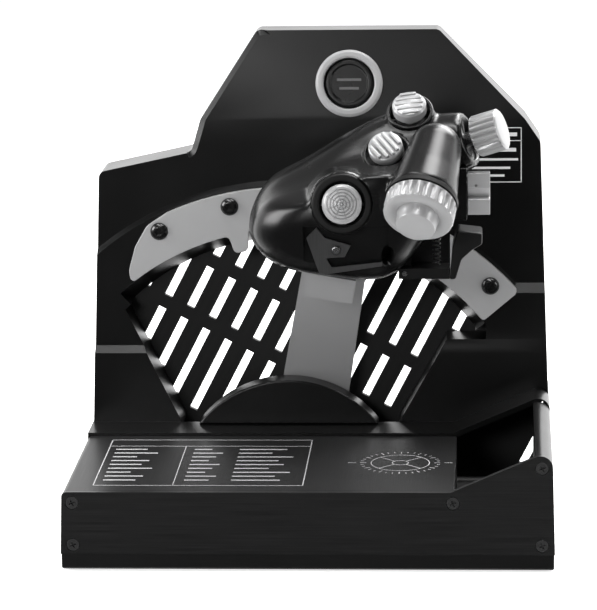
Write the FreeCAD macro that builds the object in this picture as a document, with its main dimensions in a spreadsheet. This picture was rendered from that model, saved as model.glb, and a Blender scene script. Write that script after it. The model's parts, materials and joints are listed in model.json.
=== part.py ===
import FreeCAD, Part
import Sketcher
import math
import os

# Throttle quadrant: a desk-top base with a tall slotted panel, a lever that swings in the
# panel's window, and a hand grip with its own knobs and switches.
# Frame: millimetres, +Z up, +X towards "full forward", -Y towards the user.
# The origin is the middle of the base's footprint, at the underside of the rubber feet.

doc = FreeCAD.newDocument("throttle_quadrant")

# ---------------------------------------------------------------- driving dimensions
SIZES = [
    # base
    ("base_width", 240.0), ("base_depth", 160.0), ("feet_drop", 1.0), ("feet_radius", 9.0),
    ("feet_thickness", 2.0), ("tray_floor", 3.0), ("tray_top", 8.8), ("wall", 3.0),
    ("shelf_height", 40.0), ("shelf_end", 71.5), ("ramp_start", 69.6), ("ramp_slope", 0.433),
    ("rail_width", 8.4), ("side_lean", 1.2), ("front_plate_thickness", 3.0),
    ("front_screw_inset", 6.2), ("front_screw_low", 13.4), ("front_screw_high", 34.6),
    ("front_screw_ramp_x", 70.9), ("front_screw_top", 52.2), ("csk_head_radius", 3.3),
    ("csk_shank_radius", 1.6), ("csk_head_depth", 1.7), ("rig_hole_radius", 3.25),
    ("rig_inset_x", 30.0), ("rig_inset_y", 24.0), ("corner_round", 6.0),
    # casting
    ("casting_depth", 55.0), ("panel_depth", 32.4), ("foot_rise", 1.6), ("step_depth", 3.5),
    ("panel_height", 244.5), ("shoulder_height", 172.8), ("neck_height", 183.0),
    ("fold_height", 199.5), ("fold_set_back", 9.97623), ("right_corner_height", 187.6),
    ("left_top_x", 112.9), ("right_top_x", 114.5), ("neck_x", 64.9), ("fold_left_x", 60.0),
    ("top_left_x", 30.5), ("top_right_x", 62.6), ("fold_right_x", 106.5),
    ("ledge_low_left", 78.4), ("ledge_low_right", 77.9), ("ledge_left", 81.8), ("ledge_right", 84.9),
    ("brow_gap", 0.6), ("brow_bevel", 2.1), ("brow_right_low", 109.2), ("brow_right_high", 114.0),
    ("face_thickness", 7.5),
    # window, all round the lever pivot
    ("pivot_x", -16.0), ("pivot_z", 14.0), ("window_over_arm", 13.2), ("window_bevel", 8.0),
    ("window_left_low", 72.2), ("window_left_angle", 25.6), ("window_right_low", 41.3),
    ("window_right_angle", 29.6), ("window_right_x", 86.3), ("tunnel_wall", 3.0),
    # rear grille
    ("grille_recess", 9.5), ("grille_thickness", 3.0), ("slot_width", 4.1), ("slot_pitch", 12.9),
    ("slot_tilt", 27.5), ("slot_length", 23.9), ("slot_gap", 6.8), ("slot_long", 42.0),
    ("boss_radius", 4.0), ("grille_screw_radius", 1.5),
    # lever
    ("arm_set_in", 24.0), ("arm_thickness", 5.0), ("arm_lean", 9.75), ("arm_left", 10.6),
    ("arm_right", 22.0), ("arm_reach", 116.0), ("hub_radius", 9.0), ("hub_length", 9.4),
    ("shaft_radius", 5.0), ("running_gap", 0.05), ("bearing_thickness", 4.5), ("bearing_width", 30.0),
    ("drum_radius", 58.6), ("drum_centre_z", 6.5), ("drum_set_in", 38.0), ("side_gap", 0.3),
    ("grip_rise", 43.5), ("grip_offset", 7.1), ("grip_before_arm", 113.0), ("grip_seam", 62.0), ("lift_set_back", 7.0),
    ("brake_travel", 3.0),
    # detent plates
    ("detent_gap", 0.2), ("detent_width", 22.2), ("detent_thickness", 3.0),
    ("detent_screw_inset", 7.0), ("tooth_depth", 9.4), ("button_head_radius", 4.6),
    ("button_head_height", 2.6), ("detent_shank_radius", 2.5),
    # inside the base
    ("board_set_in", 22.0), ("board_left", 4.0), ("board_width", 56.0), ("board_depth", 62.0),
    ("standoff_height", 5.0), ("ballast_right", 96.0), ("ballast_set_in", 12.0), ("socket_x", -62.0), ("socket_z", 22.0),
    ("socket_radius", 8.0),
    # panel push button
    ("push_x", 16.8), ("push_z", 217.6), ("push_ring_outer", 17.2), ("push_ring_inner", 13.0),
    ("push_ring_height", 3.0), ("push_cap_radius", 12.3), ("push_travel", 2.5),
]

sheet = doc.addObject("Spreadsheet::Sheet", "sizes")
for row, (alias, number) in enumerate(SIZES, start=1):
    sheet.set(f"A{row}", alias)
    sheet.set(f"B{row}", str(number))
    sheet.setAlias(f"B{row}", alias)
doc.recompute()


class Size:
    """A number together with its formula, so that one line gives both a value and a binding."""

    def __init__(self, value, text=None):
        self.value = float(value)
        self.text = text if text is not None else f"({float(value)!r})"

    def _join(self, other, sign, value):
        return Size(value, f"({self.text} {sign} {other.text})")

    def __add__(self, other):
        other = as_size(other)
        return self._join(other, "+", self.value + other.value)

    def __sub__(self, other):
        other = as_size(other)
        return self._join(other, "-", self.value - other.value)

    def __mul__(self, other):
        other = as_size(other)
        return self._join(other, "*", self.value * other.value)

    def __truediv__(self, other):
        other = as_size(other)
        return self._join(other, "/", self.value / other.value)

    def __radd__(self, other):
        return as_size(other) + self

    def __rsub__(self, other):
        return as_size(other) - self

    def __rmul__(self, other):
        return as_size(other) * self

    def __neg__(self):
        return as_size(0) - self

    def __float__(self):
        return self.value


def as_size(number):
    return number if isinstance(number, Size) else Size(number)


def root(number):
    return Size(math.sqrt(number.value), f"sqrt({number.text})")


S = {alias: Size(sheet.get(alias), f"sizes.{alias}") for alias, _ in SIZES}
# places and radii that follow from the sizes above
S["arm_front"] = S["base_depth"] / 2 - S["arm_set_in"]
S["drum_front"] = S["base_depth"] / 2 - S["drum_set_in"]
S["grip_front"] = S["arm_front"] - S["grip_before_arm"]
S["board_front"] = S["board_set_in"] - S["base_depth"] / 2
S["window_radius"] = S["arm_reach"] + S["window_over_arm"]
S["detent_inner"] = S["window_radius"] + S["detent_gap"]
S["detent_outer"] = S["detent_inner"] + S["detent_width"]
S["detent_screw_radius"] = S["detent_outer"] - S["detent_screw_inset"]
S["brow_radius"] = S["detent_outer"] + S["brow_gap"]
S["fold_lean"] = Size(math.degrees(math.atan(float(S["fold_set_back"])
                                             / float(S["panel_height"] - S["fold_height"]))))


def bind(thing, path, size):
    thing.setExpression(path, as_size(size).text)


# ---------------------------------------------------------------- modelling helpers
PLANES = {
    "XZ": ("XZ_Plane", -1.0),
    "XY": ("XY_Plane", 1.0),
    "YZ": ("YZ_Plane", 1.0),
}
nodes = []


def node(thing):
    """Keeps one finished sub-part for export."""
    nodes.append(thing)
    return thing


def new_body(label):
    body = doc.addObject("PartDesign::Body", label)
    body.Label = label
    return body


def sketch(body, plane, offset, outline=(), circles=(), islands=()):
    """A sketch whose corners, radii and distance along the plane's axis follow the sheet.
    A corner is (u, v), or (u, v, radius, turn) when the edge that leaves it is an arc:
    turn is +1 where the arc runs anticlockwise and -1 where it runs clockwise."""
    role, sign = PLANES[plane]
    sk = body.newObject("Sketcher::SketchObject", body.Label + "_sketch")
    support = [item for item in body.Origin.OriginFeatures if item.Role == role][0]
    sk.AttachmentSupport = [(support, "")]
    sk.MapMode = "FlatFace"
    bind(sk, "AttachmentOffset.Base.z", as_size(offset) * sign)
    for loop in ([outline] if outline else []) + list(islands):
        add_loop(sk, loop)
    for u, v, radius in circles:
        u, v, radius = as_size(u), as_size(v), as_size(radius)
        centre = FreeCAD.Vector(u.value, v.value, 0)
        index = sk.addGeometry(Part.Circle(centre, FreeCAD.Vector(0, 0, 1), radius.value), False)
        pin_point(sk, index, 3, u, v)
        fix(sk, ["Radius", index, radius.value], radius)
    return sk


def fix(sk, parts, size):
    number = sk.addConstraint(_constraint(*parts))
    bind(sk, f"Constraints[{number}]", size)


def _constraint(*parts):
    return Sketcher.Constraint(*parts)


def pin_point(sk, index, end, u, v):
    fix(sk, ["DistanceX", -1, 1, index, end, u.value], u)
    fix(sk, ["DistanceY", -1, 1, index, end, v.value], v)


def add_loop(sk, loop):
    corners = [(as_size(c[0]), as_size(c[1])) + tuple(c[2:]) for c in loop]
    made = []
    for corner, after in zip(corners, corners[1:] + corners[:1]):
        start = FreeCAD.Vector(corner[0].value, corner[1].value, 0)
        end = FreeCAD.Vector(after[0].value, after[1].value, 0)
        if len(corner) == 2:
            index = sk.addGeometry(Part.LineSegment(start, end), False)
            made.append((index, 1, 2))
            continue
        radius, turn = as_size(corner[2]), corner[3]
        chord = end - start
        side = FreeCAD.Vector(-chord.y, chord.x, 0).normalize() * turn
        rise = math.sqrt(max(radius.value ** 2 - (chord.Length / 2) ** 2, 0.0))
        centre = start + chord * 0.5 + side * rise
        first, last = (start, end) if turn > 0 else (end, start)
        angles = [math.atan2(p.y - centre.y, p.x - centre.x) for p in (first, last)]
        circle = Part.Circle(centre, FreeCAD.Vector(0, 0, 1), radius.value)
        index = sk.addGeometry(Part.ArcOfCircle(circle, angles[0], angles[1]), False)
        made.append((index, 1, 2) if turn > 0 else (index, 2, 1))
        fix(sk, ["Radius", index, radius.value], radius)
    for (index, _, end), (nxt, start, _) in zip(made, made[1:] + made[:1]):
        sk.addConstraint(_constraint("Coincident", index, end, nxt, start))
    for (index, start, _), corner in zip(made, corners):
        pin_point(sk, index, start, corner[0], corner[1])


def pad(body, sk, length, reverse=None):
    """Adds the sketch along +X, +Y or +Z."""
    feature = body.newObject("PartDesign::Pad", body.Label + "_pad")
    feature.Profile = sk
    bind(feature, "Length", length)
    feature.Reversed = reverse if reverse is not None else is_xz(sk)
    doc.recompute()
    return feature


def pocket(body, sk, length, reverse=None):
    """Removes the sketch along +X, +Y or +Z."""
    before = body.Shape.Volume
    feature = body.newObject("PartDesign::Pocket", body.Label + "_pocket")
    feature.Profile = sk
    bind(feature, "Length", length)
    feature.Reversed = reverse if reverse is not None else not is_xz(sk)
    doc.recompute()
    if body.Shape.Volume > before - 0.01:
        raise RuntimeError(f"{body.Label}: a pocket cut nothing")
    return feature


def is_xz(sk):
    return sk.AttachmentSupport[0][0].Role == "XZ_Plane"


def loft_cut(body, first, second):
    feature = body.newObject("PartDesign::SubtractiveLoft", body.Label + "_loft")
    feature.Profile = first
    feature.Sections = [second]
    feature.Ruled = True
    doc.recompute()
    return feature


def edge_names(shape, test):
    return [f"Edge{i}" for i, edge in enumerate(shape.Edges, start=1) if test(edge)]


def round_edges(body, radius, test, kind="Fillet"):
    names = edge_names(body.Tip.Shape, test)
    if not names:
        raise RuntimeError(f"{body.Label}: no edge to round")
    feature = body.newObject("PartDesign::" + kind, body.Label + "_" + kind.lower())
    feature.Base = (body.Tip if body.Tip != feature else feature.BaseFeature, names)
    bind(feature, "Radius" if kind == "Fillet" else "Size", radius)
    doc.recompute()
    return feature


def runs_along(axis, *points, reach=0.6):
    """True for an edge that runs along one axis through one of the given points (the other
    two coordinates in X, Y, Z order)."""
    keep = [i for i in range(3) if i != "XYZ".index(axis)]
    spots = [(float(u), float(v)) for u, v in points]

    def test(edge):
        ends = [vertex.Point for vertex in edge.Vertexes]
        if len(ends) != 2 or abs((ends[1] - ends[0])["XYZ".index(axis)]) < 0.9 * edge.Length:
            return False
        return any(all(math.hypot(p[keep[0]] - u, p[keep[1]] - v) < reach for p in ends)
                   for u, v in spots)
    return test


# ---------------------------------------------------------------- base
half_w = S["base_width"] / 2
front_y = -S["base_depth"] / 2
rear_y = S["base_depth"] / 2
plate_back = front_y + S["front_plate_thickness"]
casting_front = rear_y - S["casting_depth"]
floor_top = S["feet_drop"] + S["tray_floor"]
side_top = half_w - S["side_lean"]


def ramp_height(x, rise=0):
    """Height of the base's top surface at x, on the sloping part."""
    return S["shelf_height"] + rise + (as_size(x) - S["ramp_start"]) * S["ramp_slope"]


def base_tray():
    """Shallow tray that carries everything, with recesses for the feet and holes for a rig."""
    body = new_body("base_tray")
    inset = 0.4
    w, d = half_w - inset, rear_y - 0.2
    pad(body, sketch(body, "XY", S["feet_drop"], [(-w, -d), (w, -d), (w, d), (-w, d)]),
        S["tray_top"] - S["feet_drop"])
    v, e = w - S["wall"], d - S["wall"]
    pocket(body, sketch(body, "XY", floor_top, [(-v, -e), (v, -e), (v, e), (-v, e)]),
           S["tray_top"], reverse=True)
    feet = [(x, y, S["feet_radius"]) for x, y in feet_places()]
    pocket(body, sketch(body, "XY", 0, circles=feet), S["feet_thickness"], reverse=True)
    holes = [(x * (half_w - S["rig_inset_x"]), y * (rear_y - S["rig_inset_y"]), S["rig_hole_radius"])
             for x in (-1, 1) for y in (-1, 1)]
    pocket(body, sketch(body, "XY", 0, circles=holes), floor_top + 1, reverse=True)
    round_edges(body, 0.9, lambda e: e.BoundBox.ZMax < float(S["feet_drop"]) + 0.01
                and len(e.Vertexes) == 2, kind="Chamfer")
    return node(body)


def feet_places():
    inset = S["feet_radius"] + 6
    return [(x * (half_w - inset), y * (rear_y - inset)) for x in (-1, 1) for y in (-1, 1)]


def rubber_feet():
    discs = []
    for number, (x, y) in enumerate(feet_places()):
        disc = doc.addObject("Part::Cylinder", f"foot_{number}")
        bind(disc, "Radius", S["feet_radius"])
        bind(disc, "Height", S["feet_thickness"])
        bind(disc, "Placement.Base.x", x)
        bind(disc, "Placement.Base.y", y)
        discs.append(disc)
    group = doc.addObject("Part::Compound", "rubber_feet")
    group.Links = discs
    return node(group)


def front_screw_places():
    side = half_w - S["front_screw_inset"]
    return [(-side, S["front_screw_low"]), (-side, S["front_screw_high"]), (side, S["front_screw_low"]),
            (S["front_screw_ramp_x"], S["front_screw_high"]), (side, S["front_screw_top"])]


def base_outline(rise=0, low=None, inset=0.0):
    """Front view of the base: flat top on the left, ramp up to the right-hand side."""
    low = S["tray_top"] if low is None else low
    right = side_top - inset
    drop = as_size(inset)
    return [(-(half_w - inset), low), (half_w - inset, low),
            (right, ramp_height(right, rise) - drop),
            (S["ramp_start"], ramp_height(S["ramp_start"], rise) - drop),
            (-right, S["shelf_height"] + rise - drop)]


def ramp_corner(rise=0):
    return (side_top, ramp_height(side_top, rise))


def front_plate():
    body = new_body("front_plate")
    outline = base_outline()
    pad(body, sketch(body, "XZ", front_y, outline), S["front_plate_thickness"])
    x, z = ramp_corner()
    round_edges(body, S["corner_round"], runs_along("Y", (x, z)))
    round_edges(body, 2.5, runs_along("Y", (-side_top, S["shelf_height"])))
    shanks = [(x, z, S["csk_shank_radius"]) for x, z in front_screw_places()]
    pocket(body, sketch(body, "XZ", front_y, circles=shanks), S["front_plate_thickness"])
    heads = [(x, z, S["csk_head_radius"]) for x, z in front_screw_places()]
    pocket(body, sketch(body, "XZ", front_y, circles=heads), S["csk_head_depth"])
    return node(body)


def shelf_cover():
    """Left wall, flat top and the wall beside the ramp's compartment, open below."""
    body = new_body("shelf_cover")
    wall, low, top = S["wall"], S["tray_top"], S["shelf_height"]
    left = side_top
    outline = [(-left, low), (-left + wall, low), (-left + wall, top - wall),
               (S["shelf_end"] - wall, top - wall), (S["shelf_end"] - wall, low),
               (S["shelf_end"], low), (S["shelf_end"], top), (-left, top)]
    pad(body, sketch(body, "XZ", plate_back, outline), casting_front - plate_back)
    round_edges(body, 2.5, runs_along("Y", (-left, top)))
    return node(body)


def side_rail():
    """Right-hand cover: a rounded rail along the top of the ramp, with the side wall below."""
    body = new_body("side_rail")
    wall, low = S["wall"], S["tray_top"]
    inner = side_top - S["rail_width"]
    lip = 2.0
    outline = [(half_w - wall, low), (half_w - 0.2, low), ramp_corner(),
               (inner, ramp_height(inner)), (inner, low + 14), (inner + lip, low + 14),
               (inner + lip, ramp_height(inner) - 3.5), (side_top - wall, ramp_height(inner) - 3.5)]
    pad(body, sketch(body, "XZ", plate_back, outline), casting_front - plate_back)
    round_edges(body, S["corner_round"], runs_along("Y", ramp_corner()))
    return node(body)


# ---------------------------------------------------------------- casting
push_sleeve = S["push_ring_inner"] + 1.6
mid_y = rear_y - S["panel_depth"] + S["step_depth"]
lower_y = rear_y - S["panel_depth"]
upper_y = mid_y + S["step_depth"]
grille_y = rear_y - S["grille_recess"]


def panel_outline(inset=0.0):
    """Front view of the tall panel, from the tray's edge to the top."""
    t = as_size(inset)
    return [(-(half_w - 0.2) + t, S["tray_top"]), (half_w - 0.2 - t, S["tray_top"]),
            (S["right_top_x"] - t, S["right_corner_height"] - t * 0.4),
            (S["fold_right_x"] - t * 0.9, S["fold_height"] - t * 0.2),
            (S["top_right_x"] - t * 0.4, S["panel_height"] - t),
            (-S["top_left_x"] + t * 0.5, S["panel_height"] - t),
            (-S["fold_left_x"] + t, S["fold_height"] - t * 0.2),
            (-S["neck_x"] + t, S["neck_height"] - t), (-S["left_top_x"] + t, S["shoulder_height"] - t)]


def on_circle(x, radius):
    """Height of the upper point at x of a circle round the lever pivot."""
    across = as_size(x) - S["pivot_x"]
    return S["pivot_z"] + root(radius * radius - across * across)


def slant_meets_circle(x_low, z_low, angle, radius):
    """Where a slanting window side, from (x_low, z_low), reaches a circle round the pivot."""
    run, rise = math.sin(math.radians(float(angle))), math.cos(math.radians(float(angle)))
    u, v = float(x_low - S["pivot_x"]), float(z_low - S["pivot_z"])
    along = -(u * run + v * rise)
    step = along + math.sqrt(along ** 2 - (u * u + v * v - float(radius) ** 2))
    return as_size(float(x_low) + step * run), as_size(float(z_low) + step * rise)


def window_outline(radius, grow=0.0, low=None):
    """The lever's window: a sector round the pivot with a notch at the lower right."""
    t = as_size(grow)
    radius = radius + t
    z_low = S["shelf_height"] - 3 if low is None else low
    left = -S["window_left_low"] - t * 1.1
    corner_l = slant_meets_circle(left, S["shelf_height"] + S["foot_rise"],
                                  -S["window_left_angle"], radius)
    right_x = S["window_right_x"] + t
    ledge = S["ledge_right"] - t
    lean = math.tan(math.radians(float(S["window_right_angle"])))
    right = S["window_right_low"] + t * 1.1
    knee = right + (ledge - S["shelf_height"] - S["foot_rise"]) * lean
    notch = [(right_x, ledge), (right_x, on_circle(right_x, radius), radius, 1)]
    if float(notch[1][1]) < float(ledge) + 1:
        across = root(radius * radius - (ledge - S["pivot_z"]) * (ledge - S["pivot_z"]))
        notch = [(S["pivot_x"] + across, ledge, radius, 1)]
    return [(left, z_low), (right, z_low), (right, S["shelf_height"] + S["foot_rise"]), (knee, ledge),
            *notch, corner_l, (left, S["shelf_height"] + S["foot_rise"])]


def quadrant_housing():
    """Casting: the base's rear third and the tall stepped panel, open at the back."""
    body = new_body("quadrant_housing")
    rise = S["foot_rise"]
    pad(body, sketch(body, "XZ", casting_front, base_outline(rise)), S["casting_depth"])
    pad(body, sketch(body, "XZ", lower_y, panel_outline()), S["panel_depth"])
    corners = panel_outline()
    round_edges(body, S["corner_round"], runs_along("Y", corners[2], ramp_corner(rise)))
    round_edges(body, 4.0, runs_along("Y", corners[4], corners[5], corners[7], corners[8]))
    far, left_end = half_w + 20, -half_w - 5
    # the face above the straight ledges stands further back
    def above_ledges(left, right):
        return [(-far, left), (S["pivot_x"], left), (S["pivot_x"], right), (far, right),
                (far, 300), (-far, 300)]
    loft_cut(body, sketch(body, "XZ", lower_y, above_ledges(S["ledge_low_left"], S["ledge_low_right"])),
             sketch(body, "XZ", mid_y, above_ledges(S["ledge_left"], S["ledge_right"])))
    # and above the curved brow further again, with a slope all along the step
    brow = S["brow_radius"] + S["brow_bevel"]
    high = S["brow_right_high"]
    turn_x = S["pivot_x"] + root(brow * brow - (high - S["pivot_z"]) * (high - S["pivot_z"]))
    above_brow = [(left_end, on_circle(left_end, brow)), (left_end, 300), (far, 300), (far, high),
                  (turn_x, high, brow, 1)]
    pocket(body, sketch(body, "XZ", lower_y, above_brow), upper_y - lower_y)
    ring_groove(body, [(mid_y - 1, S["brow_radius"] - 0.6), (mid_y - 1, brow), (upper_y, brow)],
                46.0, 50.0)
    slope = [(mid_y - 1, S["brow_right_low"] - 1.3), (mid_y - 1, high), (upper_y, high)]
    pocket(body, sketch(body, "YZ", turn_x, slope), far, reverse=True)
    # the top leans back above the fold
    lean = math.tan(math.radians(float(S["fold_lean"])))
    top = 300
    side_view = [(upper_y - 30, S["fold_height"]), (upper_y, S["fold_height"]),
                 (upper_y + (top - S["fold_height"]) * lean, top), (upper_y - 30, top)]
    pocket(body, sketch(body, "YZ", -far, side_view), 2 * far, reverse=True)
    # inside: foot, then the space behind the panel round the window's tunnel
    inside = base_outline(rise, low=as_size(0), inset=S["wall"])
    pocket(body, sketch(body, "XZ", casting_front, inside), S["casting_depth"])
    shell = panel_outline(S["wall"])
    shell[0] = (shell[0][0], as_size(0))
    shell[1] = (shell[1][0], as_size(0))
    tunnel = window_outline(S["window_radius"], grow=S["tunnel_wall"])
    face_back = upper_y + 4
    lower_room = sketch(body, "XZ", face_back, shell_below_fold(shell), islands=[tunnel])
    pocket(body, lower_room, rear_y - face_back)
    lean_back = face_back + (S["panel_height"] - S["fold_height"]) * lean
    pocket(body, sketch(body, "XZ", lean_back, shell_above_fold(shell)), rear_y - lean_back)
    # the window narrows towards the back under its curved upper edge
    narrow = S["window_radius"] - S["window_bevel"]
    pocket(body, sketch(body, "XZ", lower_y, window_outline(narrow)), S["panel_depth"])
    ring_groove(body, [(lower_y - 1, narrow - 1), (lower_y - 1, S["window_radius"]),
                       (mid_y, S["window_radius"]), (grille_y, narrow), (grille_y, narrow - 1)],
                42.4, 52.0)
    # the window's lower right corner goes straight through
    ledge, side = S["ledge_right"], S["window_right_x"]
    corner = [(side - 11, ledge), (side, ledge), (side, on_circle(side, S["window_radius"]) + 0.2),
              (side - 7.6, ledge + 3.4)]
    pocket(body, sketch(body, "XZ", lower_y, corner), grille_y - lower_y)
    # bosses behind the face for the grille's screws
    bosses = [(x, z, S["boss_radius"]) for x, z in boss_places()]
    pad(body, sketch(body, "XZ", face_back, circles=bosses[:4]), grille_y - face_back)
    pad(body, sketch(body, "XZ", lean_back - 2, circles=bosses[4:]), grille_y - lean_back + 2)
    taps = [(x, z, S["grille_screw_radius"] + 0.05) for x, z in boss_places()]
    pocket(body, sketch(body, "XZ", grille_y - 5, circles=taps), 5)
    taps = [(x, z, S["detent_shank_radius"] + 0.05) for x, z in detent_screw_places()]
    pocket(body, sketch(body, "XZ", mid_y, circles=taps), 3.6)
    # hole for the push button, square to the leaning face
    hole = sketch(body, "XZ", 0, circles=[(0, 0, push_sleeve)])
    hole.setExpression("AttachmentOffset.Base.z", None)
    spot = FreeCAD.Vector(float(S["push_x"]), float(S["push_z"]), -float(face_height(S["push_z"])))
    hole.AttachmentOffset = FreeCAD.Placement(
        spot, FreeCAD.Rotation(FreeCAD.Vector(1, 0, 0), -float(S["fold_lean"])))
    pocket(body, hole, 30)
    # seat for the grille behind the tunnel
    seat = window_outline(S["window_radius"], grow=S["tunnel_wall"] + 0.5)
    pocket(body, sketch(body, "XZ", grille_y, seat), rear_y - grille_y)
    return node(body)


def boss_places():
    """Screws that hold the grille: four low down, two in the leaning top."""
    side = half_w - 15
    return [(-side, 60), (side, 60), (-side, S["shoulder_height"] - 18), (side, S["fold_height"] - 26),
            (-S["top_left_x"] + 12, S["panel_height"] - 10), (S["top_right_x"] - 14, S["panel_height"] - 10)]


def polar(angle, radius):
    """A point round the lever pivot, by its angle from upright towards +X."""
    a = math.radians(angle)
    return S["pivot_x"] + as_size(radius) * math.sin(a), S["pivot_z"] + as_size(radius) * math.cos(a)


def detent_screw_places():
    return [polar(angle, S["detent_screw_radius"]) for angle in (-27.0, -11.6, 46.4)]


def ring_groove(body, profile, left, right):
    """Turns a profile of (Y, radius) corners round the lever pivot, by two angles from upright."""
    for angle, reverse in ((left, True), (right, False)):
        outline = [(y, S["pivot_z"] + radius) for y, radius in profile]
        sk = sketch(body, "YZ", S["pivot_x"], outline)
        start = FreeCAD.Vector(float(profile[0][0]), float(S["pivot_z"]), 0)
        axis = sk.addGeometry(Part.LineSegment(start, start + FreeCAD.Vector(10, 0, 0)), True)
        pin_point(sk, axis, 1, profile[0][0], S["pivot_z"])
        pin_point(sk, axis, 2, profile[0][0] + 10, S["pivot_z"])
        feature = body.newObject("PartDesign::Groove", body.Label + "_groove")
        feature.Profile = sk
        feature.ReferenceAxis = (sk, ["Axis0"])
        feature.Angle = angle
        feature.Reversed = reverse
        doc.recompute()


def shell_below_fold(shell):
    """The inside outline of the panel, cut off just under the fold."""
    cap = S["fold_height"] - 1
    return shell[:3] + [(shell[3][0], cap), (shell[6][0], cap)] + shell[7:]


def shell_above_fold(shell):
    cap = S["fold_height"] - 1
    return [(shell[3][0], cap), shell[3], shell[4], shell[5], shell[6], (shell[6][0], cap)]


def rear_grille():
    """Plate that closes the back, with rows of slots that lean like the lever does."""
    plate = new_body("grille_plate")
    pad(plate, sketch(plate, "XZ", grille_y, panel_outline(S["wall"] + S["side_gap"])),
        S["grille_thickness"])
    taps = [(x, z, S["grille_screw_radius"] + 0.05) for x, z in boss_places()]
    taps.append((S["socket_x"], S["socket_z"], S["socket_radius"] + 0.05))
    pocket(plate, sketch(plate, "XZ", grille_y, circles=taps), S["grille_thickness"])
    slots = doc.addObject("Part::Compound", "grille_slots")
    slots.Links = [slot_cutter(number, *run) for number, run in enumerate(slot_runs())]
    grille = doc.addObject("Part::Cut", "rear_grille")
    grille.Base, grille.Tool = plate, slots
    return node(grille)


def slot_cutter(number, u, v, near, far):
    """A box that leans by the slot tilt, from near to far along its length."""
    slot = doc.addObject("Part::Box", f"slot_{number}")
    bind(slot, "Length", S["slot_width"])
    bind(slot, "Width", S["grille_thickness"] + 4)
    slot.Height = far - near
    turn = FreeCAD.Rotation(FreeCAD.Vector(0, 1, 0), float(S["slot_tilt"]))
    start = FreeCAD.Vector(-float(S["slot_width"]) / 2, 0, near)
    slot.Placement = FreeCAD.Placement(FreeCAD.Vector(u, float(grille_y) - 2, v) + turn.multVec(start),
                                       turn)
    return slot


def slot_runs():
    """Three rows of slots across the window and a few short ones low on the right."""
    tilt = math.radians(float(S["slot_tilt"]))
    along = (math.sin(tilt), math.cos(tilt))
    across = (math.cos(tilt), -math.sin(tilt))
    pitch, width = float(S["slot_pitch"]), float(S["slot_width"])
    short, gap, long = float(S["slot_length"]), float(S["slot_gap"]), float(S["slot_long"])
    first = (-68.6, 97.8)
    rows = [(0.0, short, -2, 14), (short + gap, long, -3, 14), (-gap - long, long, -1, 14)]
    runs = []
    for start, length, low, high in rows:
        for column in range(low, high + 1):
            u, v = first[0] + column * pitch * across[0], first[1] + column * pitch * across[1]
            near, far = clip_to_window(u, v, along, start, start + length)
            if far - near > 2.5 * width:
                runs.append((u, v, near, far))
    for column in (15, 16):
        u, v = first[0] + column * pitch * across[0], first[1] + column * pitch * across[1]
        runs.append((u, v, short * 0.2, short))
    return runs


def clip_to_window(u, v, along, near, far):
    """Shortens a slot's run so that it stays inside the window's rear outline."""
    steps = [near + (far - near) * i / 200 for i in range(201)]
    inside = [t for t in steps if in_window(u + along[0] * t, v + along[1] * t)]
    return (inside[0], inside[-1]) if inside else (0.0, 0.0)


def in_window(x, z):
    margin = 1.0
    px, pz = float(S["pivot_x"]), float(S["pivot_z"])
    base_z = float(S["shelf_height"] + S["foot_rise"])
    left = -float(S["window_left_low"]) - (z - base_z) * math.tan(math.radians(
        float(S["window_left_angle"])))
    right = float(S["window_right_low"]) + (z - base_z) * math.tan(math.radians(
        float(S["window_right_angle"])))
    if z > float(S["ledge_right"]):
        right = float(S["window_right_x"])
    reach = float(S["window_radius"]) + margin
    return (left - margin < x < right + margin and z > base_z - 12
            and math.hypot(x - px, z - pz) < reach)


# ---------------------------------------------------------------- pieces round the lever
def face_height(z):
    """How far back the panel's front face is at a height above the fold."""
    return upper_y + (as_size(z) - S["fold_height"]) * math.tan(math.radians(float(S["fold_lean"])))


def push_frame():
    """Placement of the push button: origin on the leaning face, local Z out of the panel."""
    lean = math.radians(float(S["fold_lean"]))
    out = FreeCAD.Vector(0, -math.cos(lean), math.sin(lean))
    spot = FreeCAD.Vector(float(S["push_x"]), float(face_height(S["push_z"])), float(S["push_z"]))
    return facing(spot, out)


def facing(spot, out, right=None):
    """A placement at a point whose local Z points along `out` and whose X stays near `right`."""
    out = FreeCAD.Vector(out).normalize()
    right = FreeCAD.Vector(right or FreeCAD.Vector(1, 0, 0))
    right = (right - out * right.dot(out)).normalize()
    turn = FreeCAD.Rotation(right, out.cross(right), out, "ZXY")
    return FreeCAD.Placement(FreeCAD.Vector(spot), turn)


def turned(label, profile, place=None):
    """A turned piece: (radius, height) corners spun round local Z, then placed."""
    body = new_body(label)
    sk = sketch(body, "XZ", 0, profile)
    feature = body.newObject("PartDesign::Revolution", label + "_turn")
    feature.Profile = sk
    feature.ReferenceAxis = (sk, ["V_Axis"])
    feature.Angle = 360
    doc.recompute()
    if place is not None:
        body.Placement = place
    return body


def tube(label, outer, inner, low, high, place=None):
    return turned(label, [(inner, low), (outer, low), (outer, high), (inner, high)], place)


def pivot_drum_cover():
    """Rounded cover in front of the lever's root, standing on the casting's foot."""
    body = new_body("pivot_drum_cover")
    low = S["shelf_height"] + S["foot_rise"]
    rise = low - S["drum_centre_z"]
    half = root(S["drum_radius"] * S["drum_radius"] - rise * rise)
    outline = [(S["pivot_x"] - half, low), (S["pivot_x"] + half, low, S["drum_radius"], 1)]
    pad(body, sketch(body, "XZ", S["drum_front"], outline), S["arm_front"] - 1 - S["drum_front"])
    return node(body)


def detent_plate(label, outline, corner_points, holes):
    body = new_body(label)
    front = mid_y - S["detent_thickness"]
    pad(body, sketch(body, "XZ", front, outline), S["detent_thickness"])
    for radius, points in corner_points:
        round_edges(body, radius, runs_along("Y", *points))
    drilled = [(x, z, 2.6) for x, z in holes]
    pocket(body, sketch(body, "XZ", front, circles=drilled), S["detent_thickness"])
    return node(body)


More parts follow.
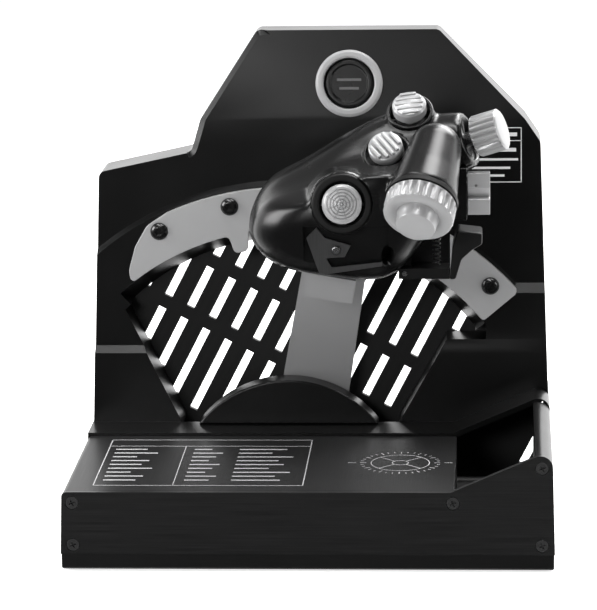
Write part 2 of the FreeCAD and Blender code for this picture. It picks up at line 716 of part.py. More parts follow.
def detent_plates():
    """The two painted gates beside the lever: the aft one ends in the idle tooth."""
    inner, outer = S["detent_inner"], S["detent_outer"]
    screws = detent_screw_places()
    start, tooth = polar(-38.6, inner), polar(-13.3, inner)
    tip_a, tip_b = polar(-12.9, inner - S["tooth_depth"]), polar(-9.5, inner - S["tooth_depth"])
    notch = polar(-8.7, inner + 1)
    aft = [start, polar(-37.3, inner + 6), polar(-33.1, outer - 7.8), polar(-28.8, outer - 1.6),
           polar(-24.0, outer) + (outer, -1), polar(-3.0, outer), polar(-3.0, outer - 14), notch,
           tip_b, tip_a, tooth + (inner, 1)]
    detent_plate("aft_detent_plate", aft, [(2.0, [start]), (9.0, [aft[2], aft[3]])], screws[:2])
    end_low, end_high = polar(51.2, inner + 0.8), polar(51.0, outer + 2)
    forward = [polar(31.0, outer) + (outer + 0.4, -1), end_high, end_low,
               polar(50.6, inner) + (inner, 1), polar(31.0, inner)]
    detent_plate("forward_detent_plate", forward, [(3.0, [end_high])], screws[2:])


def screws(label, frames, head_radius, head_height, shank_radius, shank_length, csk=False):
    """Identical screws as one node; each frame's origin is under the head, local Z outwards."""
    made = []
    for number, frame in enumerate(frames):
        head = doc.addObject("Part::Cone", f"{label}_head_{number}")
        bind(head, "Radius1", shank_radius if csk else head_radius)
        bind(head, "Radius2", head_radius if csk else as_size(head_radius) * 0.78)
        bind(head, "Height", head_height)
        shank = doc.addObject("Part::Cylinder", f"{label}_shank_{number}")
        bind(shank, "Radius", shank_radius)
        bind(shank, "Height", shank_length)
        shank.Placement = FreeCAD.Placement(FreeCAD.Vector(0, 0, -float(shank_length)),
                                            FreeCAD.Rotation())
        whole = doc.addObject("Part::Fuse", f"{label}_{number}")
        whole.Base, whole.Tool = head, shank
        whole.Placement = frame
        made.append(whole)
    group = doc.addObject("Part::Compound", label)
    group.Links = made
    return node(group)


def towards_user(x, y, z):
    return facing(FreeCAD.Vector(float(x), float(y), float(z)), FreeCAD.Vector(0, -1, 0))


def panel_fasteners():
    face = mid_y - S["detent_thickness"]
    screws("detent_plate_screws", [towards_user(x, face, z) for x, z in detent_screw_places()],
           S["button_head_radius"], S["button_head_height"], S["detent_shank_radius"], as_size(6.4))
    seat = front_y + S["csk_head_depth"]
    screws("front_plate_screws", [towards_user(x, seat, z) for x, z in front_screw_places()],
           S["csk_head_radius"] - 0.1, S["csk_head_depth"], S["csk_shank_radius"] - 0.1,
           S["front_plate_thickness"] - S["csk_head_depth"], csk=True)


def away_from_user(x, y, z):
    return facing(FreeCAD.Vector(float(x), float(y), float(z)), FreeCAD.Vector(0, 1, 0),
                  FreeCAD.Vector(-1, 0, 0))


def grille_fasteners():
    back = grille_y + S["grille_thickness"]
    screws("rear_grille_screws", [away_from_user(x, back, z) for x, z in boss_places()],
           as_size(2.8), as_size(1.8), S["grille_screw_radius"], S["grille_thickness"] + 4.6)


def push_button():
    place = push_frame()
    ring, height = S["push_ring_outer"], S["push_ring_height"]
    inner, sleeve = S["push_ring_inner"], push_sleeve - 0.15
    node(turned("push_bezel", [(inner, -6.5), (sleeve, -6.5), (sleeve, 0), (ring, 0), (ring, height - 1.2),
                               (ring - 1.2, height), (inner + 0.8, height), (inner, height - 0.8)],
                place))
    cap = S["push_cap_radius"]
    top = height - 0.9
    node(turned("push_cap", [(0, top - 5), (cap, top - 5), (cap, top - 0.8), (cap - 0.8, top),
                             (cap - 2.4, top), (cap - 2.9, top - 0.35), (0, top - 0.35)], place))
    node(turned("push_switch", [(0, -9.6), (8, -9.6), (8, -8.0), (2.2, -8.0), (2.2, -6.2), (0, -6.2)],
                place))
    node(turned("push_switch_plate", [(8.02, -8.4), (sleeve - 0.05, -8.4), (sleeve - 0.05, -6.5),
                                      (8.02, -6.5)], place))
    coil = spring("push_spring", 6.0, 0.4, 3, (0, 0, 0), 4.26)
    coil.Placement = place.multiply(FreeCAD.Placement(FreeCAD.Vector(0, 0, -7.58), FreeCAD.Rotation()))
    node(coil)


def spring(label, radius, wire, turns, foot, height, sides=6, steps=14):
    """Coil spring standing on a point, as flat facets; its height is between wire centres."""
    height, count = float(height), turns * steps
    rings = []
    for number in range(count + 1):
        angle, rise = math.tau * number / steps, height * number / count
        out = FreeCAD.Vector(math.cos(angle), math.sin(angle), 0)
        rings.append([out * (radius + wire * math.cos(math.tau * k / sides))
                      + FreeCAD.Vector(0, 0, rise + wire * math.sin(math.tau * k / sides))
                      for k in range(sides)])
    faces = [flat_face(rings[0]), flat_face(rings[-1][::-1])]
    for near, far in zip(rings, rings[1:]):
        for k in range(sides):
            n = (k + 1) % sides
            faces += [flat_face([near[k], near[n], far[n]]), flat_face([near[k], far[n], far[k]])]
    solid = Part.Solid(Part.Shell(faces))
    if solid.Volume < 0:
        solid.reverse()
    thing = doc.addObject("Part::Feature", label)
    thing.Shape = solid
    thing.Placement = FreeCAD.Placement(FreeCAD.Vector(*foot), FreeCAD.Rotation())
    return thing


def flat_face(points):
    return Part.Face(Part.makePolygon(points + points[:1]))


def bearing_block(label, low_y):
    """Pillow block on the tray's floor, bored for the pivot shaft."""
    body = new_body(label)
    half = S["bearing_width"] / 2
    cheek = as_size(9.5)
    outline = [(S["pivot_x"] - half, floor_top), (S["pivot_x"] + half, floor_top),
               (S["pivot_x"] + half, floor_top + 4), (S["pivot_x"] + cheek, floor_top + 4),
               (S["pivot_x"] + cheek, S["pivot_z"], cheek + 0.2, 1), (S["pivot_x"] - cheek, S["pivot_z"]),
               (S["pivot_x"] - cheek, floor_top + 4), (S["pivot_x"] - half, floor_top + 4)]
    pad(body, sketch(body, "XZ", low_y, outline), S["bearing_thickness"])
    bore = [(S["pivot_x"], S["pivot_z"], S["shaft_radius"] + S["running_gap"])]
    pocket(body, sketch(body, "XZ", low_y, circles=bore), S["bearing_thickness"])
    taps = [(S["pivot_x"] + side * 12.2, low_y + S["bearing_thickness"] / 2, 1.25) for side in (-1, 1)]
    pocket(body, sketch(body, "XY", floor_top + 0.5, circles=taps), 4, reverse=True)
    return node(body)


hub_front = S["arm_front"] + S["arm_thickness"] / 2 - S["hub_length"] / 2
hub_back = hub_front + S["hub_length"]
front_block = hub_front - S["side_gap"] - S["bearing_thickness"]
rear_block = hub_back + S["side_gap"]
shaft_front = front_block - 6
shaft_back = rear_block + S["bearing_thickness"] + 1.2


def box(label, corner, size):
    thing = doc.addObject("Part::Box", label)
    for name, value in zip(("Length", "Width", "Height"), size):
        bind(thing, name, value)
    for axis, value in zip("xyz", corner):
        bind(thing, "Placement.Base." + axis, value)
    return thing


def along_y(label, radius, x, z, low, high):
    """A round bar along Y."""
    bar = doc.addObject("Part::Cylinder", label)
    bind(bar, "Radius", radius)
    bind(bar, "Height", as_size(high) - low)
    bar.Placement = FreeCAD.Placement(FreeCAD.Vector(float(x), float(low), float(z)),
                                      FreeCAD.Rotation(FreeCAD.Vector(1, 0, 0), -90))
    return bar


def cut(label, base, *tools):
    tool = tools[0]
    if len(tools) > 1:
        tool = doc.addObject("Part::Compound", label + "_cutters")
        tool.Links = list(tools)
    thing = doc.addObject("Part::Cut", label)
    thing.Base, thing.Tool = base, tool
    return thing


def fuse(label, *parts):
    thing = doc.addObject("Part::MultiFuse", label)
    thing.Shapes = list(parts)
    return thing


def pivot_group():
    bearing_block("front_bearing_block", front_block)
    bearing_block("rear_bearing_block", rear_block)
    x, z, r = S["pivot_x"], S["pivot_z"], S["shaft_radius"]
    node(along_y("pivot_shaft", r, x, z, shaft_front, shaft_back))
    # friction brake: a split pad round the shaft, in front of the front block
    pad_y = front_block - S["side_gap"] - 3.6
    brake = box("brake_block", (x - 12, pad_y, floor_top), (24, 3.6, z - floor_top + 9))
    bore = along_y("brake_bore", r + S["running_gap"], x, z, pad_y - 1, pad_y + 5)
    slit = box("brake_slit", (x - 0.6, pad_y - 1, z), (1.2, 6, 12))
    node(cut("friction_brake", brake, bore, slit))
    node(along_y("sensor_magnet", as_size(3.0), x, z, shaft_front - 2, shaft_front))
    board_y = shaft_front - 2 - 1.2 - 1.6
    board = box("sensor_card", (x - 11, board_y, floor_top), (22, 1.6, 20))
    chip = box("sensor_chip", (x - 2.5, board_y + 1.6, z - 2.5), (5, 0.9, 5))
    node(fuse("sensor_board", board, chip))
    places = [(x + sx * 12.2, y) for sx in (-1, 1)
              for y in (front_block + S["bearing_thickness"] / 2,
                        rear_block + S["bearing_thickness"] / 2)]
    frames = [FreeCAD.Placement(FreeCAD.Vector(float(u), float(y), float(floor_top) + 4),
                                FreeCAD.Rotation()) for u, y in places]
    screws("bearing_block_screws", frames, as_size(2.0), as_size(1.6), as_size(1.2), as_size(3.2))


# ---------------------------------------------------------------- lever and grip
def arm_point(along, across):
    """A point of the lever, by its distance from the pivot along and across the arm."""
    lean = math.radians(float(S["arm_lean"]))
    return (S["pivot_x"] + as_size(along) * math.sin(lean) + as_size(across) * math.cos(lean),
            S["pivot_z"] + as_size(along) * math.cos(lean) - as_size(across) * math.sin(lean))


def lever_arm():
    body = new_body("lever_arm")
    left, right, reach, hub = S["arm_left"], S["arm_right"], S["arm_reach"], S["hub_radius"]
    outline = [arm_point(reach, -left), arm_point(30, -left - 1.4), arm_point(2, -hub + 0.4),
               arm_point(2, hub - 0.4), arm_point(34, right + 1.6), arm_point(reach, right)]
    pad(body, sketch(body, "XZ", S["arm_front"], outline), S["arm_thickness"])
    round_edges(body, 3.0, runs_along("Y", outline[0], outline[5]))
    pad(body, sketch(body, "XZ", hub_front, circles=[(S["pivot_x"], S["pivot_z"], hub)]), S["hub_length"])
    bore = [(S["pivot_x"], S["pivot_z"], S["shaft_radius"] + 0.01)]
    pocket(body, sketch(body, "XZ", hub_front, circles=bore), S["hub_length"])
    holes = [(x, z, 1.55) for x, z in stem_screw_places()]
    pocket(body, sketch(body, "XZ", S["arm_front"], circles=holes), S["arm_thickness"])
    return node(body)


def stem_screw_places():
    return [arm_point(S["arm_reach"] - 6, across) for across in (-2, 13)]


def grip_place(x, y, z):
    """A point of the grip, from its middle (across, towards the panel, up)."""
    middle = arm_point(S["arm_reach"] + S["grip_rise"], S["grip_offset"])
    return FreeCAD.Vector(float(middle[0]) + x, float(S["grip_front"]) + y, float(middle[1]) + z)


GRIP_OUTLINE = [(-48, -13), (-40, 8), (-19, 20.5), (2, 33), (22, 42), (42, 41), (51, 26), (48, 2),
                (38, -20), (20, -36), (-8, -35), (-35, -29)]
# distance from the thumb face; widths, heights above and below the middle, as shares of the outline
GRIP_SECTIONS = [(0, 0.34, 0.36, 0.10), (2, 0.52, 0.48, 0.36), (7, 0.72, 0.50, 0.70), (16, 0.90, 0.58, 0.88),
                 (27, 0.97, 0.70, 0.96), (41, 1.0, 0.97, 1.0), (56, 1.0, 1.0, 1.0), (74, 0.92, 0.88, 0.97),
                 (90, 0.72, 0.52, 0.92), (99, 0.46, 0.02, 0.80)]


def grip_solid():
    wires = []
    for back, wide, above, below in GRIP_SECTIONS:
        points = [grip_place(u * wide, back, v * (above if v > 0 else below)) for u, v in GRIP_OUTLINE]
        curve = Part.BSplineCurve()
        curve.interpolate(points, PeriodicFlag=True)
        wires.append(Part.Wire([curve.toShape()]))
    return Part.makeLoft(wires, True, True)


def bar(place, radius, low, high, top_radius=None):
    """A round bar or cone along a placement's local Z."""
    spot = place.multVec(FreeCAD.Vector(0, 0, low))
    out = place.Rotation.multVec(FreeCAD.Vector(0, 0, 1))
    if top_radius is None:
        return Part.makeCylinder(radius, high - low, spot, out)
    return Part.makeCone(radius, top_radius, high - low, spot, out)


def grip_frames():
    """Where each control sits on the grip: origin on the grip's skin, local Z outwards."""
    vector = FreeCAD.Vector
    return {
        "cursor": facing(grip_place(0.0, 1.0, 7.0), vector(0.04, -0.98, 0.19)),
        "brake": facing(grip_place(21.0, 27.0, 27.0), vector(-0.10, -0.74, 0.66), vector(1, 0, -0.5)),
        "hat": facing(grip_place(31.8, 43.0, 44.5), vector(-0.05, -0.62, 0.78)),
        "elevation": facing(grip_place(38.4, -4.5, 8.8), vector(-0.18, -0.76, -0.62)),
        "range": facing(grip_place(61.0, 44.5, 31.0), vector(0.92, -0.22, 0.32), vector(0, 1, 0)),
    }


def grip_shells():
    """The two halves of the grip, with the barrels of its knobs and recesses for its controls."""
    at = grip_frames()
    whole = grip_solid()
    whole = whole.cut(finger_lift_space())
    barrel_end = at["elevation"].multVec(FreeCAD.Vector(0, 0, -34))
    added = [bar(at["elevation"], 12.8, -34, -2.6, 16.8), Part.makeSphere(12.8, barrel_end),
             bar(at["range"], 15.0, -26, 0.0, 13.4), bar(at["hat"], 13.2, -16, -0.2, 11.9),
             bar(at["brake"], 13.4, -14, -0.2, 12.2), bar(at["cursor"], 16.8, -16, -0.6, 15.8),
             Part.makeSphere(15.0, at["range"].multVec(FreeCAD.Vector(0, 0, -26))), release_spring_seat()]
    for piece in added:
        whole = whole.fuse(piece)
    holes = [bar(at["cursor"], 14.8, -9.0, 20), bar(at["brake"], 9.9, -8.2, 9), bar(at["hat"], 9.6, -8.2, 20),
             bar(at["brake"], 12.05, -0.2, 12), bar(at["elevation"], 17.6, -2.6, 14),
             bar(at["elevation"], 3.6, -16, 1), bar(at["range"], 3.6, -16, 1)]
    for hole in holes:
        whole = whole.cut(hole)
    beside_boss = Part.makeBox(15, 3.2, 27.0, grip_place(-19.0, float(S["lift_set_back"]) - 3.2, -31.0))
    pivot = release_pivot()
    shoe_room = Part.makeBox(10, 15.2, 7.5, FreeCAD.Vector(pivot.x - 3.7, pivot.y - 7.6, pivot.z - 4.0))
    for hollow in (beside_boss, shoe_room, stem_shape(), tab_guide_shape(), release_lug()):
        whole = whole.cut(hollow)
    x, y, z = grip_place(-3.2, float(S["lift_set_back"]), -16.4)
    whole = whole.cut(Part.makeCylinder(1.65, 4.2, FreeCAD.Vector(x, y - 0.1, z), FreeCAD.Vector(0, 1, 0)))
    seam = float(S["grip_front"] + S["grip_seam"])
    size = 400
    front = Part.makeBox(size, seam + size, size, FreeCAD.Vector(-size / 2, -size, 0))
    for label, half in (("grip_thumb_shell", whole.common(front)), ("grip_palm_shell", whole.cut(front))):
        thing = doc.addObject("Part::Feature", label)
        solids = sorted(half.Solids, key=lambda s: s.Volume)
        thing.Shape = solids[-1]
        node(thing)


def stem_shape():
    """The bar from the arm through the window, with a tongue that stands up inside the grip."""
    reach, front = S["arm_reach"], float(S["grip_front"])
    bar_part = arm_prism(reach - 11, reach + 1, -7, 18, front + 60, float(S["arm_front"]))
    tongue = arm_prism(reach + 1, reach + 28, -5, 16, front + 66, front + 92)
    return bar_part.fuse(tongue).removeSplitter()


def arm_prism(low, high, left, right, front, back):
    """A block square to the lever's lean, from front to back along Y."""
    corners = [arm_point(low, left), arm_point(low, right), arm_point(high, right), arm_point(high, left)]
    points = [FreeCAD.Vector(float(x), back, float(z)) for x, z in corners]
    face = Part.Face(Part.makePolygon(points + points[:1]))
    return face.extrude(FreeCAD.Vector(0, front - back, 0))


def grip_stem():
    thing = doc.addObject("Part::Feature", "grip_stem")
    shape = stem_shape()
    for x, z in stem_screw_places():
        spot = FreeCAD.Vector(float(x), float(S["arm_front"]) - 6.2, float(z))
        shape = shape.cut(Part.makeCylinder(1.55, 7, spot, FreeCAD.Vector(0, 1, 0)))
    thing.Shape = shape
    node(thing)
    frames = [FreeCAD.Placement(FreeCAD.Vector(float(x), float(S["arm_front"] + S["arm_thickness"]),
                                               float(z)),
                                FreeCAD.Rotation(FreeCAD.Vector(1, 0, 0), -90))
              for x, z in stem_screw_places()]
    screws("stem_screws", frames, as_size(3.6), as_size(2.2), as_size(1.5), S["arm_thickness"] + 6)


def pins(place, direction, radius, near, far, height):
    """Two short pins on one line through a control's axis, at a height along it."""
    shapes = []
    for side in (-1, 1):
        start = place.multVec(FreeCAD.Vector(direction[0] * near * side, direction[1] * near * side, height))
        out = place.Rotation.multVec(FreeCAD.Vector(direction[0] * side, direction[1] * side, 0))
        shapes.append(Part.makeCylinder(radius, far - near, start, out))
    return shapes


def pinned(label, base, shapes):
    """A turned piece with its pins, as one node."""
    pair = doc.addObject("Part::Feature", label + "_pins")
    pair.Shape = Part.makeCompound(shapes)
    thing = doc.addObject("Part::MultiFuse", label)
    thing.Shapes = [base, pair]
    return node(thing)


def gimbal(label, place, inner, outer, socket, height):
    """Ring that tilts on two pins in its socket."""
    ring = turned(label + "_ring", [(inner, height - 1.3), (outer, height - 1.3), (outer, height + 1.3),
                                    (inner, height + 1.3)], place)
    pinned(label, ring, pins(place, (1, 0), 0.8, outer - 0.4, socket - S["running_gap"].value, height))


def cursor_control():
    place, height = grip_frames()["cursor"], -5.9
    node(turned("cursor_bezel", [(10.6, -8.6), (14.75, -8.6), (14.75, -0.2), (14.0, 0.6), (11.4, 0.6),
                                 (10.6, -0.2)], place))
    gimbal("cursor_gimbal", place, 5.4, 8.2, 10.6, height)
    post = turned("cursor_post_bar", [(0, -7.6), (4.6, -7.6), (4.6, -4.2), (2.4, -4.2), (2.4, 0.6), (0, 0.6)],
                  place)
    pinned("cursor_post", post, pins(place, (0, 1), 0.8, 4.2, 5.35, height))
    node(turned("cursor_cap", [(0, 1.0), (2.45, 1.0), (2.45, 0.2), (8.2, 0.2), (9.6, 1.6), (9.4, 5.2),
                               (6.0, 6.3), (0, 6.8)], place))


def hat_control():
    place, height = grip_frames()["hat"], -5.7
    node(turned("hat_collar", [(9.6, -0.2), (11.8, -0.2), (11.3, 1.3), (10.1, 1.3)], place))
    gimbal("hat_gimbal", place, 4.0, 7.0, 9.6, height)
    cap = turned("hat_cap_body", [(0, -7.3), (3.4, -7.3), (3.4, -4.0), (2.6, -4.0), (2.6, 0), (7.2, 0),
                                  (8.3, 1.2), (8.3, 5.4), (7.4, 6.6), (0, 7.4)], place)
    pinned("hat_cap", cap, pins(place, (0, 1), 0.8, 3.0, 3.95, height))


def brake_switch():
    place = grip_frames()["brake"]
    stem, travel, low = 3.0, float(S["brake_travel"]), -8.2
    node(turned("brake_collar", [(9.9, -0.2), (12.0, -0.2), (11.6, 1.2), (10.4, 1.2)], place))
    disc = turned("brake_slide_disc", [(0, low), (9.85, low), (9.85, -3.2), (0, -3.2)])
    groove = box("brake_slide_groove", (-stem - travel - 0.1, -stem - 0.05, low - 1),
                 (2 * (stem + travel + 0.1), 2 * (stem + 0.05), 8))
    node(cut("brake_slide", disc, groove)).Placement = place
    node(turned("brake_switch_cap", [(0, -6.4), (stem, -6.4), (stem, 1.6), (7.6, 1.6), (8.5, 2.5), (8.5, 7.6),
                                     (7.7, 8.6), (0, 8.6)], place))


def fluted(label, profile, place, count, radius, depth, low, high):
    """A turned knob with flutes cut along its rim."""
    blank = turned(label + "_blank", profile)
    bites = doc.addObject("Part::Compound", label + "_flutes")
    made = []
    for number in range(count):
        angle = math.tau * number / count
        bite = doc.addObject("Part::Cylinder", f"{label}_flute_{number}")
        bind(bite, "Radius", depth)
        bind(bite, "Height", as_size(high) - low)
        bite.Placement = FreeCAD.Placement(
            FreeCAD.Vector(radius * math.cos(angle), radius * math.sin(angle), low), FreeCAD.Rotation())
        made.append(bite)
    bites.Links = made
    knob = doc.addObject("Part::Cut", label)
    knob.Base, knob.Tool = blank, bites
    knob.Placement = place
    return node(knob)


def knobs():
    place = grip_frames()["elevation"]
    node(turned("elevation_ring", [(3.7, -2.6), (17.4, -2.6), (17.4, -0.3), (3.7, -0.3)], place))
    fluted("elevation_knob", [(0, -13), (3.55, -13), (3.55, 0), (17.2, 0), (17.2, 8.6), (15.6, 10), (13, 10),
                              (10.4, 8.9), (9.6, 15.2), (8.8, 16), (0, 16)], place, 24, 18.0, 1.6, 0, 11)
    place = grip_frames()["range"]
    node(turned("range_shaft", [(0, -14), (3.55, -14), (3.55, 1.6), (2.2, 1.6), (2.2, 7.4), (0, 7.4)], place))
    fluted("range_knob", [(2.25, 3.0), (8.6, 3.0), (10.4, 4.4), (10.4, 16.6), (9.6, 17.6), (0, 17.6), (0, 10.6),
                          (2.25, 10.6)], place, 20, 11.2, 1.5, 2, 16.8)


def tab_guide_shape():
    """Block on the grip's right-hand side that the tab switch slides on."""
    return Part.makeBox(15.6, 8.0, 26.0, grip_place(44.0, 30.0, -7.0))


def tab_switch():
    guide = doc.addObject("Part::Feature", "tab_guide")
    guide.Shape = tab_guide_shape()
    node(guide)
    x, y, z = grip_place(59.9, 31.0, -4.4)
    low = box("tab_block", (x, y, z), (11.0, 6.0, 20.8))
    notch = box("tab_notch", (x - 1, y - 1, z + 5), (13.0, 3.0, 4.0))
    node(cut("tab_switch", low, notch))


def finger_lift_space():
    """A flat facet low on the thumb side, for the finger lift."""
    return Part.makeBox(41, 20, 27.0, grip_place(-19.0, float(S["lift_set_back"]) - 20, -31.0))


def finger_lift():
    set_back = float(S["lift_set_back"])
    x, y, z = grip_place(-3.2, set_back, -16.4)
    plate = y - 1.9
    body = new_body("finger_lift")
    outline = [(x - 9.5, z + 11.0), (x - 14.5, z + 6.0), (x - 9.8, z - 7.6), (x - 8.3, z - 11.6),
               (x - 3.8, z - 11.8), (x + 22.0, z - 8.0), (x + 22.0, z - 6.0), (x - 2.5, z - 8.6),
               (x - 5.0, z - 4.0), (x + 4.0, z - 3.5), (x + 7.0, z + 2.2), (x - 5.5, z + 6.0)]
    pad(body, sketch(body, "XZ", plate, outline), as_size(1.6))
    pocket(body, sketch(body, "XZ", plate, circles=[(x, z, 1.65)]), as_size(1.6))
    node(body)
    node(turned("finger_lift_rivet", [(0, -5.9), (1.6, -5.9), (1.6, 0.2), (2.4, 0.2), (1.8, 1.2), (0, 1.2)],
                towards_user(x, plate, z)))


def release_pivot():
    """Where the cut-off release turns, under the grip."""
    return grip_place(29.0, 37.0, -33.6)


def release_lug():
    """Lug for the release's pin, with a guard plate that hangs behind the spring."""
    x, y, z = release_pivot()
    lug = Part.makeBox(6, 4, 15, FreeCAD.Vector(x - 3, y - 2, z - 2.4))
    web = Part.makeBox(6, 13.5, 4.6, FreeCAD.Vector(x - 3, y - 2, z + 8))
    guard = Part.makeBox(25, 2.0, 22.5, FreeCAD.Vector(x - 3, y + 9.5, z - 2))
    return lug.fuse(web).fuse(guard).removeSplitter()


def cutoff_release():
    """Trigger under the grip: a forked shoe with a curved outer wing, on a pin."""
    x, y, z = release_pivot()
    lug = doc.addObject("Part::Feature", "release_lug")
    lug.Shape = release_lug().cut(Part.makeCylinder(1.25, 8, FreeCAD.Vector(x, y - 4, z),
                                                    FreeCAD.Vector(0, 1, 0)))
    node(lug)
    shoe = box("shoe_block", (x - 3, y - 7, z - 2.6), (25, 14, 5.2))
    slot = box("shoe_slot", (x - 8, y - 2.4, z - 6), (12.4, 4.8, 12))
    bore = along_y("shoe_bore", as_size(1.22), x, z, y - 8, y + 8)
    node(cut("release_shoe", shoe, slot, bore))
    node(along_y("release_pin", as_size(1.2), x, z, y - 7, y + 7))
    wing = new_body("cutoff_paddle")
    outline = [(x + 22, z - 2.6), (x + 25, z - 2.4), (x + 28, z + 7.5), (x + 33, z + 12), (x + 38, z + 15),
               (x + 38, z + 20.5), (x + 26, z + 22), (x + 23.5, z + 14)]
    pad(wing, sketch(wing, "XZ", y - 9, outline), as_size(18.0))
    node(wing)
    node(spring("release_spring", 1.9, 0.35, 6, (x + 15.5, y, z + 3.0), 13.0))


def release_spring_seat():
    """Boss on the grip's underside that the release spring pushes on."""
    x, y, z = release_pivot()
    return Part.makeCylinder(3.2, 14.0, FreeCAD.Vector(x + 15.5, y, z + 16.4), FreeCAD.Vector(0, 0, 1))


# ---------------------------------------------------------------- inside the base
def electronics():
    """Boards, ballast and the rear socket."""
    y, z = S["board_front"], floor_top + S["standoff_height"]
    board = box("main_card", (S["board_left"], y, z), (S["board_width"], S["board_depth"], 1.6))
    chips = [box("chip_large", (S["board_left"] + 20, y + 20, z + 1.6), (12, 12, 1.6)),
             box("chip_small", (S["board_left"] + 6, y + 8, z + 1.6), (8, 5, 1.4)),
             box("board_header", (S["board_left"] + 8, y + 44, z + 1.6), (26, 5, 8.5))]
    node(fuse("main_board", board, *chips))
    posts = doc.addObject("Part::Compound", "board_standoffs")
    posts.Links = [standoff(number, S["board_left"] + 4 + (S["board_width"] - 8) * u,
                            y + 4 + (S["board_depth"] - 8) * v)
                   for number, (u, v) in enumerate(((0, 0), (1, 0), (0, 1), (1, 1)))]
    node(posts)
    node(box("ballast_weight", (-S["ballast_right"], S["ballast_set_in"] - S["base_depth"] / 2, floor_top), (64, 78, 9)))


def standoff(number, x, y):
    post = doc.addObject("Part::Cylinder", f"standoff_{number}")
    bind(post, "Radius", 2.6)
    bind(post, "Height", S["standoff_height"])
    for axis, value in zip("xyz", (x, y, floor_top)):
        bind(post, "Placement.Base." + axis, value)
    return post


def rear_socket():
    """Screw-ring data socket low on the grille, with an open mouth."""
    x, z = S["socket_x"], S["socket_z"]
    back = grille_y + S["grille_thickness"]
    place = away_from_user(x, back, z)
    r = S["socket_radius"]
    node(turned("rear_socket", [(0, -9), (r, -9), (r, 0), (r + 2, 0), (r + 2, 1.6), (r, 1.6), (r, 5.4),
                                (r - 1.4, 5.4), (r - 1.4, -6), (0, -6)], place))


# ---------------------------------------------------------------- build and export
STEPS = (
    base_tray, rubber_feet, front_plate, shelf_cover, side_rail, quadrant_housing, rear_grille,
    pivot_drum_cover, detent_plates, panel_fasteners, grille_fasteners, push_button, pivot_group,
    electronics, rear_socket, lever_arm, grip_stem, grip_shells, cursor_control, hat_control,
    brake_switch, knobs, tab_switch, finger_lift, cutoff_release,
)
for step in STEPS:
    step()
doc.recompute()

faults = [thing.Name for thing in doc.Objects if {"Invalid", "Error"} & set(thing.State)]
faults += [thing.Label for thing in nodes if thing.Shape.isNull() or not thing.Shape.isValid()]
if faults:
    raise RuntimeError("faulty: " + ", ".join(faults))

os.makedirs("parts", exist_ok=True)
for thing in nodes:
    thing.Shape.exportStep(f"parts/{thing.Label}.step")
print(len(nodes), "sub-parts written")
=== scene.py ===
import json
import math

import bmesh
import bpy
from mathutils import Matrix, Vector


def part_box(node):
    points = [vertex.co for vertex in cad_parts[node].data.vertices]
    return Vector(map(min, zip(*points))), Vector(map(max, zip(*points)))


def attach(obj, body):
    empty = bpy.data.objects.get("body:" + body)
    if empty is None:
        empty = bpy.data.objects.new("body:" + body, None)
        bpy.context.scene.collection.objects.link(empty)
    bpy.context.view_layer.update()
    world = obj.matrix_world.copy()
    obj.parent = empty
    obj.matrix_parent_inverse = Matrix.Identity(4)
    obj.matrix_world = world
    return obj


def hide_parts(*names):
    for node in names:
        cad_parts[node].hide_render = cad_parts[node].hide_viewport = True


# Desk-top throttle quadrant: casting, shelf, lever, hand grip and its controls.
# +X is full forward, -Y is the user's side, and the desk is at Z = 0.
# Sizes are in millimetres, and MM turns them to metres. A profile is a list of (radius, height)
# along a piece's own axis, and an outline is a list of (x, y).
MM = 0.001
WELD = 0.00002  # corners closer than this, in metres, become one
ROUND_ANGLE = 30  # degrees between two faces from which their edge is rounded
PRINT_LIFT = 0.005
PRINT_THICK = 0.06

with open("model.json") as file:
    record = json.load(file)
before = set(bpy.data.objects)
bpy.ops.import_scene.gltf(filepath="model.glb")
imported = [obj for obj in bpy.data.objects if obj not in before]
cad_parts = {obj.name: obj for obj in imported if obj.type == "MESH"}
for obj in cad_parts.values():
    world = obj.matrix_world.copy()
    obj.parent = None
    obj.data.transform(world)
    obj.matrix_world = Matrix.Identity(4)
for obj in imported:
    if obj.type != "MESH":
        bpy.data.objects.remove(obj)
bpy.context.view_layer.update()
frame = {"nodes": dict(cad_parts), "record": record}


# ---------------------------------------------------------------- small workshop helpers
def deselect():
    if bpy.context.mode != "OBJECT":
        bpy.ops.object.mode_set(mode="OBJECT")
    bpy.ops.object.select_all(action="DESELECT")


def pick(thing):
    deselect()
    thing.select_set(True)
    bpy.context.view_layer.objects.active = thing


def edit(thing):
    pick(thing)
    bpy.ops.object.mode_set(mode="EDIT")
    return bmesh.from_edit_mesh(thing.data)


def leave():
    bpy.ops.object.mode_set(mode="OBJECT")


def weld(thing):
    """Makes the faces of a copied mesh hang together; leaves it in edit mode, all selected."""
    edit(thing)
    bpy.ops.mesh.select_all(action="SELECT")
    bpy.ops.mesh.remove_doubles(threshold=WELD)


def face_outwards():
    bpy.ops.mesh.select_all(action="SELECT")
    bpy.ops.mesh.normals_make_consistent(inside=False)
    leave()


def millimetres(x, y, z):
    return Vector((x * MM, y * MM, z * MM))


def box_of(node):
    """Low and high corner of a CAD node, in mm."""
    return [[value / MM for value in corner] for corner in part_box(node)]


def place_mesh(thing, matrix):
    thing.data.transform(matrix)
    thing.data.update()


def apply_modifiers(thing):
    pick(thing)
    for modifier in list(thing.modifiers):
        bpy.ops.object.modifier_apply(modifier=modifier.name)


def smooth(thing, degrees):
    pick(thing)
    bpy.ops.object.shade_smooth_by_angle(angle=math.radians(degrees))


def copy_mesh(thing, name):
    twin = bpy.data.objects.new(name, thing.data.copy())
    twin.data.name = name
    bpy.context.scene.collection.objects.link(twin)
    return twin


def join(first, others):
    pick(first)
    for other in others:
        other.select_set(True)
    bpy.ops.object.join()
    return first


